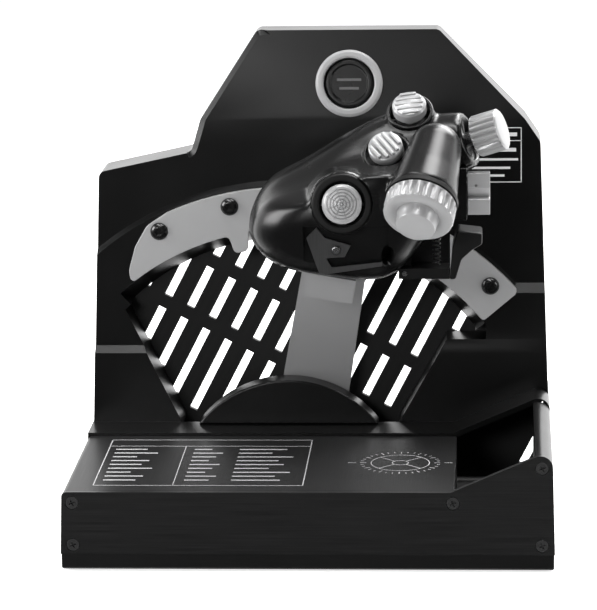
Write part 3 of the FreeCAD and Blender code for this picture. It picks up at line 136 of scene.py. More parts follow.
def stand(spot, out, right=(1, 0, 0)):
    """Matrix with its origin at a spot, local Z along `out` and X near `right`."""
    out = Vector(out).normalized()
    right = Vector(right)
    right = (right - out * right.dot(out)).normalized()
    up = out.cross(right)
    turned = Matrix((right, up, out)).transposed().to_4x4()
    return Matrix.Translation(millimetres(*spot)) @ turned


def rectangle(x_low, y_low, x_high, y_high):
    return [(x_low, y_low), (x_high, y_low), (x_high, y_high), (x_low, y_high)]


def ellipse(across, along, corners=24):
    turns = [step / corners * math.tau for step in range(corners)]
    return [(across * math.cos(turn), along * math.sin(turn)) for turn in turns]


def lathe(name, profile, matrix=None, corners=96):
    """Rings drawn out one from another along a profile, closed at both ends."""
    least = 0.02
    deselect()
    radius, height = profile[0]
    bpy.ops.mesh.primitive_circle_add(vertices=corners, radius=max(radius, least) * MM,
                                      location=(0, 0, height * MM), fill_type="NGON")
    thing = bpy.context.object
    thing.name = thing.data.name = name
    place_mesh(thing, Matrix.Translation((0, 0, height * MM)))
    thing.matrix_world = Matrix.Identity(4)
    bpy.ops.object.mode_set(mode="EDIT")
    bpy.ops.mesh.select_all(action="SELECT")
    for next_radius, next_height in profile[1:]:
        bpy.ops.mesh.extrude_region_move(
            TRANSFORM_OT_translate={"value": (0, 0, (next_height - height) * MM)})
        factor = max(next_radius, least) / max(radius, least)
        bpy.ops.transform.resize(value=(factor, factor, 1),
                                 center_override=(0, 0, next_height * MM))
        radius, height = next_radius, next_height
    face_outwards()
    if matrix is not None:
        place_mesh(thing, matrix)
    return thing


def slab(name, outline, low, high, matrix=None, bevel=0.0):
    """A flat outline drawn out from low to high, with its edges rounded."""
    deselect()
    bpy.ops.mesh.primitive_circle_add(vertices=len(outline), radius=MM, fill_type="NGON")
    thing = bpy.context.object
    thing.name = thing.data.name = name
    for vertex, (x, y) in zip(thing.data.vertices, outline):
        vertex.co = millimetres(x, y, low)
    bpy.ops.object.mode_set(mode="EDIT")
    bpy.ops.mesh.select_all(action="SELECT")
    bpy.ops.mesh.extrude_region_move(
        TRANSFORM_OT_translate={"value": (0, 0, (high - low) * MM)})
    face_outwards()
    if matrix is not None:
        place_mesh(thing, matrix)
    if bevel:
        round_over(thing, bevel, 3)
    return thing


def round_over(thing, width, segments):
    """Rounds every edge whose faces meet at more than ROUND_ANGLE."""
    bevel = thing.modifiers.new("rounded", "BEVEL")
    bevel.width = width * MM
    bevel.segments = segments
    bevel.limit_method = "ANGLE"
    bevel.angle_limit = math.radians(ROUND_ANGLE)
    bevel.harden_normals = False
    bevel.use_clamp_overlap = True
    apply_modifiers(thing)
    smooth(thing, 40)
    even_out(thing)


def even_out(thing):
    """Keeps large flat faces flat in the shading beside small rounded ones."""
    even = thing.modifiers.new("even", "WEIGHTED_NORMAL")
    even.weight = 100
    even.keep_sharp = True
    apply_modifiers(thing)


def bevel_edges(thing, wanted, width, segments):
    """Bevels the edges that a test picks out."""
    cells = edit(thing)
    bpy.ops.mesh.select_all(action="DESELECT")
    for edge in [edge for edge in cells.edges if wanted(edge)]:
        edge.select = True
    bmesh.update_edit_mesh(thing.data)
    bpy.ops.mesh.bevel(offset=width * MM, segments=segments, affect="EDGES", clamp_overlap=True)
    leave()


def flatten_front(thing, low, high, width):
    """Cuts the front edges of an outline that lie inside a box of two corners to a flat face."""
    def wanted(edge):
        inside = all(low[axis] <= vertex.co[axis] / MM <= high[axis]
                     for vertex in edge.verts for axis in range(3))
        facing_user = any(face.normal.y < -0.9 for face in edge.link_faces)
        sideways = any(abs(face.normal.y) < 0.2 for face in edge.link_faces)
        return inside and facing_user and sideways

    bevel_edges(thing, wanted, width, 1)


def round_corners(thing, width):
    """Rounds the corners of a plate's outline: its edges along Y where two side faces meet."""
    least = math.radians(18)

    def wanted(edge):
        a, b = (vertex.co for vertex in edge.verts)
        along_y = abs(a.x - b.x) < WELD and abs(a.z - b.z) < WELD
        return along_y and len(edge.link_faces) == 2 and edge.calc_face_angle() > least

    bevel_edges(thing, wanted, width, 5)


def softened(node, width, segments=3, name=None, front=None, corners=0.0):
    """The CAD piece again with its edges rounded over, in place of the sharp one."""
    thing = copy_mesh(frame["nodes"][node], name or node.replace("_", "-"))
    weld(thing)
    bpy.ops.mesh.dissolve_limited(angle_limit=math.radians(1.0))
    leave()
    if front:
        flatten_front(thing, *front)
    if corners:
        round_corners(thing, corners)
    round_over(thing, width, segments)
    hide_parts(node)
    return thing


def cut_away(thing, tool):
    cutter = thing.modifiers.new("cut", "BOOLEAN")
    cutter.operation = "DIFFERENCE"
    cutter.object = tool
    cutter.solver = "EXACT"
    apply_modifiers(thing)
    bpy.data.objects.remove(tool)


def body_of(node):
    for name, members in frame["record"]["behaviour"]["bodies"].items():
        if node in members:
            return name
    raise KeyError(node)


def finish_piece(thing, body, material, replaced=()):
    thing.data.materials.clear()
    thing.data.materials.append(material)
    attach(thing, body)
    if replaced:
        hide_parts(*replaced)
    return thing


# ---------------------------------------------------------------- finishes
def group(name, inputs, outputs):
    tree = bpy.data.node_groups.new(name, "ShaderNodeTree")
    for label, kind, value in inputs:
        socket = tree.interface.new_socket(label, in_out="INPUT", socket_type=kind)
        socket.default_value = value
    for label in outputs:
        tree.interface.new_socket(label, in_out="OUTPUT", socket_type="NodeSocketFloat")
    return tree, tree.nodes.new("NodeGroupInput"), tree.nodes.new("NodeGroupOutput")


def noise(tree, scale, detail):
    made = tree.nodes.new("ShaderNodeTexNoise")
    made.inputs["Scale"].default_value = scale
    made.inputs["Detail"].default_value = detail
    return made


def powder_grain():
    """Fine sprayed or moulded texture: a bump and a small change of shine."""
    tree, inside, outside = group(
        "Powder grain",
        [("Scale", "NodeSocketFloat", 2500.0), ("Depth", "NodeSocketFloat", 0.1),
         ("Shine low", "NodeSocketFloat", 0.4), ("Shine high", "NodeSocketFloat", 0.5)],
        ["Shine", "Height", "Patches"])
    place = tree.nodes.new("ShaderNodeTexCoord")
    fine = noise(tree, 5, 3)
    wide = noise(tree, 28, 5)
    spread = tree.nodes.new("ShaderNodeMapRange")
    depth = tree.nodes.new("ShaderNodeMath")
    depth.operation = "MULTIPLY"
    link = tree.links.new
    link(place.outputs["Object"], fine.inputs["Vector"])
    link(place.outputs["Object"], wide.inputs["Vector"])
    link(inside.outputs["Scale"], fine.inputs["Scale"])
    link(wide.outputs["Fac"], spread.inputs["Value"])
    link(inside.outputs["Shine low"], spread.inputs["To Min"])
    link(inside.outputs["Shine high"], spread.inputs["To Max"])
    link(fine.outputs["Fac"], depth.inputs[0])
    link(inside.outputs["Depth"], depth.inputs[1])
    link(spread.outputs["Result"], outside.inputs["Shine"])
    link(depth.outputs["Value"], outside.inputs["Height"])
    link(wide.outputs["Fac"], outside.inputs["Patches"])
    return tree


def brushed_lines():
    """Long fine scratches along one direction."""
    tree, inside, outside = group(
        "Brushed lines",
        [("Along", "NodeSocketVector", (40.0, 2500.0, 2500.0)),
         ("Shine low", "NodeSocketFloat", 0.3), ("Shine high", "NodeSocketFloat", 0.45)],
        ["Shine", "Height", "Lines"])
    place = tree.nodes.new("ShaderNodeTexCoord")
    stretch = tree.nodes.new("ShaderNodeVectorMath")
    stretch.operation = "MULTIPLY"
    lines = noise(tree, 1, 4)
    spread = tree.nodes.new("ShaderNodeMapRange")
    link = tree.links.new
    link(place.outputs["Object"], stretch.inputs[0])
    link(inside.outputs["Along"], stretch.inputs[1])
    link(stretch.outputs["Vector"], lines.inputs["Vector"])
    link(lines.outputs["Fac"], spread.inputs["Value"])
    link(inside.outputs["Shine low"], spread.inputs["To Min"])
    link(inside.outputs["Shine high"], spread.inputs["To Max"])
    link(spread.outputs["Result"], outside.inputs["Shine"])
    link(lines.outputs["Fac"], outside.inputs["Height"])
    link(lines.outputs["Fac"], outside.inputs["Lines"])
    return tree


GRAIN, BRUSH = powder_grain(), brushed_lines()


def blank_material(name):
    material = bpy.data.materials.new(name)
    material.use_nodes = True
    shader = material.node_tree.nodes["Principled BSDF"]
    return material, material.node_tree, shader


def use_group(tree, kind, **values):
    made = tree.nodes.new("ShaderNodeGroup")
    made.node_tree = kind
    for label, value in values.items():
        made.inputs[label.replace("_", " ")].default_value = value
    return made


def colour(tone):
    """RGBA of a tone: three parts, or one number for a grey with a trace of blue."""
    parts = tone if isinstance(tone, tuple) else (tone, tone, tone * 1.01)
    return (*parts, 1)


def surface(name, texture, share, dark, light, strength, distance, metallic, **values):
    """A material between two close tones, its shine and bump driven by a node group."""
    material, tree, shader = blank_material(name)
    made = use_group(tree, texture, **values)
    mix = tree.nodes.new("ShaderNodeMix")
    mix.data_type = "RGBA"
    mix.inputs["A"].default_value = colour(dark)
    mix.inputs["B"].default_value = colour(light)
    bump = tree.nodes.new("ShaderNodeBump")
    bump.inputs["Strength"].default_value = strength
    bump.inputs["Distance"].default_value = distance
    link = tree.links.new
    link(made.outputs[share], mix.inputs["Factor"])
    link(mix.outputs["Result"], shader.inputs["Base Color"])
    link(made.outputs["Shine"], shader.inputs["Roughness"])
    link(made.outputs["Height"], bump.inputs["Height"])
    link(bump.outputs["Normal"], shader.inputs["Normal"])
    shader.inputs["Metallic"].default_value = metallic
    return material, shader


def painted(name, dark, light, shine, scale, strength, metallic=0.0, specular=0.5):
    material, shader = surface(name, GRAIN, "Patches", dark, light, strength, 0.00006, metallic,
                               Scale=scale, Depth=1.0, Shine_low=shine[0], Shine_high=shine[1])
    shader.inputs["Specular IOR Level"].default_value = specular
    return material


def brushed(name, dark, light, shine, along, metallic, strength=0.12):
    material, _ = surface(name, BRUSH, "Lines", dark, light, strength, 0.00003, metallic,
                          Along=along, Shine_low=shine[0], Shine_high=shine[1])
    return material


# name, darkest and lightest tone, roughness from and to, grain's scale and strength, metal
casting_paint = painted("Casting black", 0.0020, 0.0035, (0.27, 0.36), 2600, 0.3, specular=0.35)
tray_paint = painted("Tray black", 0.002, 0.004, (0.42, 0.5), 1800, 0.3)
foot_rubber = painted("Foot rubber", 0.02, 0.03, (0.75, 0.9), 900, 0.5)
plate_metal = brushed("Front plate black", 0.004, 0.026, (0.26, 0.40), (24, 1500, 1500), 0.35, 0.3)
shelf_metal = brushed("Shelf black", 0.016, 0.028, (0.34, 0.46), (2600, 30, 2600), 0.4)
grille_paint = painted("Grille black", 0.002, 0.004, (0.5, 0.65), 1600, 0.3)
gate_paint = painted("Gate grey", 0.36, 0.41, (0.38, 0.46), 2200, 0.12, 0.3)
arm_paint = painted("Lever grey", 0.28, 0.31, (0.36, 0.44), 2400, 0.10, 0.3)
black_screw = painted("Black screw", 0.003, 0.006, (0.2, 0.28), 1500, 0.1, specular=0.7)
dark_screw = painted("Dark screw", 0.024, 0.04, (0.25, 0.35), 1500, 0.1, 0.3)
ring_paint = painted("Button ring grey", 0.36, 0.40, (0.32, 0.4), 1800, 0.08)
button_black = painted("Button black", 0.003, 0.005, (0.24, 0.32), 1500, 0.05, specular=0.4)
mark_white = painted("Printed white", 0.62, 0.7, (0.5, 0.6), 2600, 0.05)
mark_grey = painted("Printed grey", 0.10, 0.13, (0.5, 0.6), 2600, 0.05)
grip_plastic = painted("Grip black", 0.002, 0.004, (0.22, 0.30), 3200, 0.05, specular=0.45)
knob_plastic = painted("Knob grey", 0.36, 0.42, (0.26, 0.34), 1700, 0.10, 0.35)
bezel_plastic = painted("Bezel black", 0.0015, 0.003, (0.42, 0.55), 2000, 0.12, specular=0.3)
trigger_plastic = painted("Trigger black", 0.003, 0.006, (0.28, 0.38), 1800, 0.1)
lift_metal = brushed("Lift metal", 0.07, 0.12, (0.3, 0.42), (2000, 2000, 60), 0.8)
steel = brushed("Steel", 0.42, 0.55, (0.22, 0.34), (1800, 60, 1800), 1.0)
switch_plastic = painted("Switch body", 0.03, 0.05, (0.5, 0.6), 1400, 0.2)
bearing_plastic = painted("Bearing plastic", 0.12, 0.16, (0.5, 0.6), 1400, 0.15)
board_lacquer = painted("Board lacquer", (0.01, 0.07, 0.03), (0.015, 0.10, 0.045), (0.25, 0.35),
                        900, 0.1)

CAD_FINISH = {
    "tray_black": tray_paint, "foot_rubber": foot_rubber, "casting_black": casting_paint,
    "plate_black": plate_metal, "grille_dark": grille_paint, "gate_grey": gate_paint,
    "arm_grey": arm_paint, "screw_black": black_screw, "screw_dark": dark_screw,
    "ring_grey": ring_paint, "cap_black": button_black, "switch_body": switch_plastic,
    "spring_steel": steel, "bearing_plastic": bearing_plastic, "shaft_steel": steel,
    "board_green": board_lacquer, "weight_steel": steel, "socket_metal": steel,
    "grip_black": grip_plastic, "knob_grey": knob_plastic, "bezel_black": bezel_plastic,
    "lift_metal": lift_metal, "trigger_black": trigger_plastic,
}
for entry in frame["record"]["subparts"]:
    mesh = frame["nodes"][entry["node"]].data
    mesh.materials.clear()
    mesh.materials.append(CAD_FINISH[entry["material_slot"]])
    smooth(frame["nodes"][entry["node"]], 30)


# ---------------------------------------------------------------- casting, shelf and lever
LEFT_SLOPE = ((-68, 50, 178), (-26, 66, 246), 2.6)  # box round its front edge, and the cut's width
GATE_CORNER = 2.2

for node, width, steps, paint in (
        ("quadrant_housing", 1.1, 3, casting_paint), ("shelf_cover", 0.5, 2, shelf_metal),
        ("front_plate", 0.4, 2, plate_metal), ("side_rail", 0.6, 2, casting_paint),
        ("pivot_drum_cover", 1.6, 4, casting_paint), ("aft_detent_plate", 0.5, 2, gate_paint),
        ("forward_detent_plate", 0.5, 2, gate_paint), ("lever_arm", 0.7, 3, arm_paint),
        ("push_bezel", 0.5, 2, ring_paint), ("push_cap", 0.4, 2, button_black)):
    front = LEFT_SLOPE if node == "quadrant_housing" else None
    corners = GATE_CORNER if "detent" in node else 0.0
    finish_piece(softened(node, width, steps, front=front, corners=corners), body_of(node), paint)


# ---------------------------------------------------------------- printed lines
def printed_bar(x_low, x_high, y_low, y_high, matrix, name):
    return slab(name, rectangle(x_low, y_low, x_high, y_high), 0.0, PRINT_THICK, matrix)


def printed_sheet(name, bars, matrix, body="base", ink=mark_white):
    """A set of thin bars (x low, x high, y low, y high) laid on one flat face."""
    pieces = [printed_bar(*bar, matrix, name + "-bar") for bar in bars]
    sheet = join(pieces[0], pieces[1:])
    sheet.name = sheet.data.name = name
    return finish_piece(sheet, body, ink)


def box_lines(x_low, x_high, y_low, y_high, wide=0.5):
    return [(x_low, x_high, y_low, y_low + wide), (x_low, x_high, y_high - wide, y_high),
            (x_low, x_low + wide, y_low, y_high), (x_high - wide, x_high, y_low, y_high)]


def shelf_list(top):
    """Three columns of plain bars in a frame."""
    lines = box_lines(-105, -2, -68, 17) + [(-105, -2, 4.5, 5.0), (-66, -65.6, -68, 4.5)]
    columns = ((-101, (16, 22, 12, 19)), (-61, (9, 15, 12)), (-38, (24, 17, 28, 21)))
    for row in range(9):
        y = -2.2 - row * 7.1
        for start, lengths in columns:
            lines.append((start, start + lengths[row % len(lengths)], y, y + 1.5))
    printed_sheet("shelf-print", lines, stand((0, 0, top), (0, 0, 1)))


def shelf_dial(top):
    """A plain dial of ticks, spokes and two rings beside the list."""
    ticks, spokes, outer, rings, half = 36, 4, 20, (4.0, 14.5), 0.2
    marks = []
    for tick in range(ticks):
        deep = 3.0 if tick % 3 == 0 else 1.6
        turned = Matrix.Rotation(math.tau * tick / ticks, 4, "Z")
        marks.append(printed_bar(outer - deep, outer, -0.22, 0.22, turned, "dial-tick"))
    for spoke in range(spokes):
        turned = Matrix.Rotation(math.tau * (spoke + 0.5) / spokes, 4, "Z")
        marks.append(printed_bar(*rings, -half, half, turned, "dial-spoke"))
    for low, high in ((-26, -22), (22, 26)):
        marks.append(printed_bar(low, high, -half, half, Matrix.Identity(4), "dial-mark"))
    for radius in rings:
        bpy.ops.mesh.primitive_torus_add(major_segments=72, minor_segments=8,
                                         major_radius=radius * MM, minor_radius=0.22 * MM,
                                         location=(0, 0, 0))
        ring = bpy.context.object
        place_mesh(ring, Matrix.Diagonal((1, 1, 0.25, 1)))
        marks.append(ring)
    sheet = join(marks[0], marks[1:])
    sheet.name = sheet.data.name = "shelf-dial"
    place_mesh(sheet, stand((44, -26, top), (0, 0, 1)))
    finish_piece(sheet, "base", mark_white)


def panel_label():
    """A frame with five plain bars on the panel's upper face, at the right."""
    panel_face = 54.6
    lines = box_lines(62, 104.8, 166.6, 195.2, 0.45) + [(62, 104.8, 188.1, 188.5)]
    rows = ((190.6, 92, 102.5, 1.9), (182.6, 74, 102, 1.9), (178.0, 66, 103, 1.2),
            (173.6, 70, 99, 1.2), (169.6, 66, 96, 1.2))
    for z, low, high, tall in rows:
        lines.append((low, high, z, z + tall))
    printed_sheet("panel-label", lines, stand((0, panel_face - PRINT_LIFT, 0), (0, -1, 0)))


def button_dashes():
    """Two plain dashes on the push button's cap, which leans back with the panel's top."""
    lean, cap_face = math.radians(12.5), 1.76
    button = stand((16.8, 58.61, 217.6), (0, -math.cos(lean), math.sin(lean)))
    printed_sheet("button-dashes", [(-6.2, 6.2, 1.2, 2.5), (-5.0, 5.0, -3.2, -1.9)],
                  button @ Matrix.Translation((0, 0, cap_face * MM)), "push_button", mark_grey)


print_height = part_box("shelf_cover")[1][2] / MM + PRINT_LIFT
shelf_list(print_height)
shelf_dial(print_height)
panel_label()
button_dashes()

# ---------------------------------------------------------------- screws
HEX_HEIGHT = 2.6


def hex_button(name, matrix):
    """Button-head screw with a hexagon socket; the origin is where its head sits."""
    radius, height, key_radius, key_depth = 4.6, HEX_HEIGHT, 2.0, 1.7
    head = lathe(name, [(radius - 0.15, 0), (radius, 0.25), (radius * 0.97, 0.8),
                        (radius * 0.86, 1.6), (radius * 0.68, height - 0.25),
                        (radius * 0.56, height), (radius * 0.5, height)], None, 48)
    hexagon = [(key_radius * math.cos(corner * math.pi / 3),
                key_radius * math.sin(corner * math.pi / 3)) for corner in range(6)]
    cut_away(head, slab("key", hexagon, height - key_depth, height + 1))
    smooth(head, 35)
    even_out(head)
    place_mesh(head, matrix)
    return head


def cross_countersunk(name, matrix):
    """Countersunk screw with a cross recess; the origin is at the flat face."""
    radius, first_turn = 3.1, 0.4
    head = lathe(name, [(1.5, -1.6), (radius - 0.1, -0.25), (radius, -0.1), (radius - 0.1, 0.0),
                        (radius * 0.6, 0.02)], None, 48)
    for turned in (first_turn, first_turn + math.pi / 2):
        blade = slab("blade", [(-1.7, -0.33), (1.7, -0.33), (1.2, 0.33), (-1.2, 0.33)], -1.0, 1.0)
        place_mesh(blade, Matrix.Rotation(turned, 4, "Z"))
        cut_away(head, blade)
    smooth(head, 35)
    place_mesh(head, matrix)
    return head


def solid_seats(node):
    """Middle in X and Z, and front in Y, of each separate solid of a CAD node, in metres."""
    thing = copy_mesh(frame["nodes"][node], "loose")
    weld(thing)
    leave()
    cells = bmesh.new()
    cells.from_mesh(thing.data)
    seen, seats = set(), []
    for start in cells.verts:
        if start.index in seen:
            continue
        stack, cluster = [start], []
        seen.add(start.index)
        while stack:
            vertex = stack.pop()
            cluster.append(vertex.co.copy())
            for edge in vertex.link_edges:
                other = edge.other_vert(vertex)
                if other.index not in seen:
                    seen.add(other.index)
                    stack.append(other)
        low = Vector([min(spot[axis] for spot in cluster) for axis in range(3)])
        high = Vector([max(spot[axis] for spot in cluster) for axis in range(3)])
        centre = (low + high) / 2
        seats.append((centre.x, low.y, centre.z))
    cells.free()
    bpy.data.objects.remove(thing)
    return seats


def fasteners():
    for node, name, make, one, depth, paint in (
            ("detent_plate_screws", "detent-screws", hex_button, "detent-screw", HEX_HEIGHT,
             black_screw),
            ("front_plate_screws", "front-screws", cross_countersunk, "front-screw", 0.02,
             dark_screw)):
        heads = []
        for x, y, z in solid_seats(node):
            heads.append(make(one, stand((x / MM, y / MM + depth, z / MM), (0, -1, 0))))
        whole = join(heads[0], heads[1:])
        whole.name = name
        finish_piece(whole, "base", paint, [node])


fasteners()

# ---------------------------------------------------------------- hand grip
PIVOT_X, PIVOT_Z = -16, 14
LEAN = math.radians(9.75)  # the lever's lean at rest
GRIP_REACH, GRIP_SHIFT, GRIP_FRONT = 159.5, 7.1, -57.0
GRIP_MIDDLE = (PIVOT_X + GRIP_REACH * math.sin(LEAN) + GRIP_SHIFT * math.cos(LEAN), GRIP_FRONT,
               PIVOT_Z + GRIP_REACH * math.cos(LEAN) - GRIP_SHIFT * math.sin(LEAN))
GRIP_SPLIT = 5.0  # where the two halves meet, along Y
GRIP_SEAM = 0.12  # half of the overlap taken off or left on there


def on_grip(x, y, z):
    return (GRIP_MIDDLE[0] + x, GRIP_MIDDLE[1] + y, GRIP_MIDDLE[2] + z)


# the axes of the grip's controls
CURSOR = stand(on_grip(0.0, 1.0, 7.0), (0.04, -0.98, 0.19))
BRAKE = stand(on_grip(21.0, 27.0, 27.0), (-0.10, -0.74, 0.66), (1, 0, -0.5))
HAT = stand(on_grip(31.8, 43.0, 44.5), (-0.05, -0.62, 0.78))
ELEVATION = stand(on_grip(38.4, -4.5, 8.8), (-0.18, -0.76, -0.62))
RANGE = stand(on_grip(61.0, 44.5, 31.0), (0.92, -0.22, 0.32), (0, 1, 0))
RELEASE_PIVOT = on_grip(29.0, 37.0, -33.6)

# the grip's outline, and its sections: set-back, width, height above and height below
SKIN_OUTLINE = [(-48, -13), (-40, 8), (-19, 20.5), (2, 33), (22, 42), (42, 41), (51, 26), (48, 2),
                (38, -20), (20, -36), (-8, -35), (-35, -29)]
SKIN_SECTIONS = [(0, 0.34, 0.36, 0.10), (2, 0.52, 0.48, 0.36), (7, 0.72, 0.50, 0.70),
                 (16, 0.90, 0.58, 0.88), (27, 0.97, 0.70, 0.96), (41, 1.0, 0.97, 1.0),
                 (56, 1.0, 1.0, 1.0), (74, 0.92, 0.88, 0.97), (90, 0.72, 0.52, 0.92),
                 (99, 0.46, 0.02, 0.80)]
SKIN_CORNERS, SKIN_STATIONS = 72, 28


def curve_through(points, share, closed):
    """A point of the smooth curve through the points, at a share of its run from 0 to 1."""
    count = len(points)
    run = share * (count if closed else count - 1)
    step = min(int(run), count - 1 if closed else count - 2)
    t = run - step
    if closed:
        a, b, c, d = (points[(step + k) % count] for k in (-1, 0, 1, 2))
    else:
        a, b, c, d = (points[max(0, min(count - 1, step + k))] for k in (-1, 0, 1, 2))
    return [0.5 * (2 * q + (r - p) * t + (2 * p - 5 * q + 4 * r - s) * t * t
                   + (3 * q - p - 3 * r + s) * t ** 3) for p, q, r, s in zip(a, b, c, d)]


def grip_skin():
    """The hand-shaped mass: one ring drawn back station by station and shaped to each section."""
    deselect()
    bpy.ops.mesh.primitive_circle_add(vertices=SKIN_CORNERS, radius=30 * MM, fill_type="NGON")
    skin = bpy.context.object
    skin.name = skin.data.name = "grip-skin"
    edit(skin)
    bpy.ops.mesh.select_all(action="SELECT")
    for number in range(SKIN_STATIONS + 1):
        back, wide, above, below = curve_through(SKIN_SECTIONS, number / SKIN_STATIONS, False)
        if number:
            bpy.ops.mesh.extrude_region_move(TRANSFORM_OT_translate={"value": (0, 0, MM)})
        cells = bmesh.from_edit_mesh(skin.data)
        ring = [vertex for vertex in cells.verts if vertex.select]
        ring.sort(key=lambda vertex: vertex.index)
        for place, vertex in enumerate(ring):
            u, v = curve_through(SKIN_OUTLINE, place / SKIN_CORNERS, True)
            vertex.co = millimetres(*on_grip(u * wide, back, v * (above if v > 0 else below)))
        bmesh.update_edit_mesh(skin.data)
    face_outwards()
    return skin


def ball(name, radius, matrix, height):
    deselect()
    bpy.ops.mesh.primitive_uv_sphere_add(segments=64, ring_count=32, radius=radius * MM,
                                         location=(0, 0, 0))
    thing = bpy.context.object
    thing.name = name
    place_mesh(thing, matrix @ Matrix.Translation((0, 0, height * MM)))
    return thing


def grip_mass():
    """Skin, barrels and bosses melted into one moulding."""
    x, y, z = RELEASE_PIVOT
    spring_axis = Matrix.Translation(millimetres(x + 15.5, y, z))
    parts = [
        lathe("barrel", [(12.6, -36), (12.8, -34), (14.6, -18), (16.6, -4), (16.8, -2.6)],
              ELEVATION),
        ball("barrel-end", 12.8, ELEVATION, -34),
        lathe("side-barrel", [(13.0, -30), (16.5, -26), (17.5, -16), (15.4, -7), (13.9, -1.6),
                              (13.4, 0)], RANGE),
        ball("side-barrel-end", 15.0, RANGE, -26),
        lathe("hat-boss", [(14.5, -16), (13.2, -10), (12.2, -3), (11.9, -0.2)], HAT),
        lathe("brake-boss", [(15.5, -14), (14.2, -9), (12.8, -3), (12.2, -0.2)], BRAKE),
        lathe("cursor-boss", [(19.0, -16), (17.4, -9), (16.2, -3), (15.8, -0.6)], CURSOR),
        lathe("spring-seat", [(3.2, 16.4), (3.2, 30)], spring_axis),
    ]
    shell = join(grip_skin(), parts)
    shell.name = "grip-shell"
    melt = shell.modifiers.new("melt", "REMESH")
    melt.mode = "VOXEL"
    melt.voxel_size = 0.95 * MM
    relax = shell.modifiers.new("relax", "SMOOTH")
    relax.factor = 0.5
    relax.iterations = 14
    apply_modifiers(shell)
    return shell


def grip_tools():
    """What is cut out of the moulding: bores, a flat facet, rooms for its controls, two holes."""
    bores = ((CURSOR, 14.8, -9.0, 25), (BRAKE, 9.9, -8.2, 9), (BRAKE, 12.05, -0.2, 12),
             (HAT, 9.6, -8.2, 20), (ELEVATION, 3.6, -16, 1), (ELEVATION, 17.7, -2.6, 14),
             (RANGE, 3.6, -16, 1), (RANGE, 11.0, -2.2, 4))
    tools = [lathe("bore", [(radius, low), (radius, high)], axis)
             for axis, radius, low, high in bores]
    low, high = on_grip(-19.0, -13.0, -31.0), on_grip(22.0, 6.9, -4.0)
    tools.append(slab("facet", rectangle(low[0], low[1], high[0], high[1]), low[2], high[2]))
    x, y, z = RELEASE_PIVOT
    rooms = [((x - 3.9, y - 7.8, z - 4.2), (x + 6.5, y + 7.8, z + 3.7))]
    for node, gap, travel in (("tab_guide", 0.0, 0.0), ("tab_switch", 0.3, 3.3)):
        low, high = box_of(node)
        rooms.append(((low[0] - gap, low[1] - gap, low[2] - travel),
                      (high[0] + gap, high[1] + gap, high[2] + travel)))
    for low, high in rooms:
        tools.append(slab("seat", rectangle(low[0], low[1], high[0], high[1]), low[2], high[2]))
    for node in ("grip_stem", "release_lug"):
        tool = copy_mesh(frame["nodes"][node], node + "-tool")
        weld(tool)
        leave()
        tools.append(tool)
    lift_hole = stand(on_grip(20.5, 12.0, -19.5), (0.25, -1, -0.1))
    palm_slot = stand(on_grip(-25.0, 24.0, -26.5), (-0.3, -0.9, -0.3))
    tools.append(slab("oval", ellipse(3.2, 5.6), -9, 30, lift_hole))
    tools.append(slab("slot", ellipse(4.6, 1.7), -7, 30, palm_slot))
    return tools


def grip_shells():
    """The moulding, bored for its controls and split into its two halves."""
    shell = grip_mass()
    for tool in grip_tools():
        cut_away(shell, tool)
    palm = copy_mesh(shell, "grip-palm-half")
    for half, side in ((shell, 1), (palm, -1)):
        edit(half)
        bpy.ops.mesh.select_all(action="SELECT")
        bpy.ops.mesh.bisect(plane_co=(0, (GRIP_SPLIT - GRIP_SEAM * side) * MM, 0),
                            plane_no=(0, side, 0), use_fill=True, clear_outer=True)
        leave()
        smooth(half, 38)
    shell.name = shell.data.name = "grip-thumb-half"
    finish_piece(shell, "throttle", grip_plastic, ["grip_thumb_shell"])
    finish_piece(palm, "throttle", grip_plastic, ["grip_palm_shell"])


grip_shells()


# ---------------------------------------------------------------- controls on the grip
def fluted_knob(name, profile, flutes, depth, low, high, matrix):
    """A turned knob whose rim is pressed in between its ribs, from low to high."""
    per = 8  # corners of the rim for each flute
    knob = lathe(name, profile, None, flutes * per)
    edit(knob)
    for groove in range(per):
        share = 0.5 - 0.5 * math.cos(math.tau * groove / per)
        if share < 0.05:
            continue
        bpy.ops.mesh.select_all(action="DESELECT")
        cells = bmesh.from_edit_mesh(knob.data)
        for vertex in cells.verts:
            around = math.atan2(vertex.co.y, vertex.co.x) % math.tau
            place = round(around / math.tau * flutes * per) % per
            wide = math.hypot(vertex.co.x, vertex.co.y) / MM
            if place == groove and low <= vertex.co.z / MM <= high and wide > depth * 4:
                vertex.select = True
        cells.select_flush(True)
        bmesh.update_edit_mesh(knob.data)
        biggest = max(radius for radius, _ in profile)
        factor = 1 - depth * share / biggest
        bpy.ops.transform.resize(value=(factor, factor, 1), center_override=(0, 0, 0))
    leave()
    smooth(knob, 40)
    place_mesh(knob, matrix)
    return knob


def ribbed_cap(name, profile, matrix, across, rise, turn):
    """A thumb cap with rounded ribs over its crown."""
    ribs, sunk, half = 5, 0.8, across * 0.29
    cap = lathe(name, profile, None, 72)
    top = max(height for _, height in profile)
    bars = []
    for number in range(ribs):
        shift = (number - (ribs - 1) / 2) * across
        reach = math.sqrt(max(0.0, (profile[-1][0]) ** 2 - shift ** 2)) * 0.97
        if reach < 1:
            continue
        outline = rectangle(-reach, shift - half, reach, shift + half)
        bars.append(slab(name + "-rib", outline, top - sunk, top + rise, None, 0.55))
    cap = join(cap, bars)
    cap.name = cap.data.name = name
    place_mesh(cap, matrix @ Matrix.Rotation(turn, 4, "Z"))
    smooth(cap, 38)
    return cap


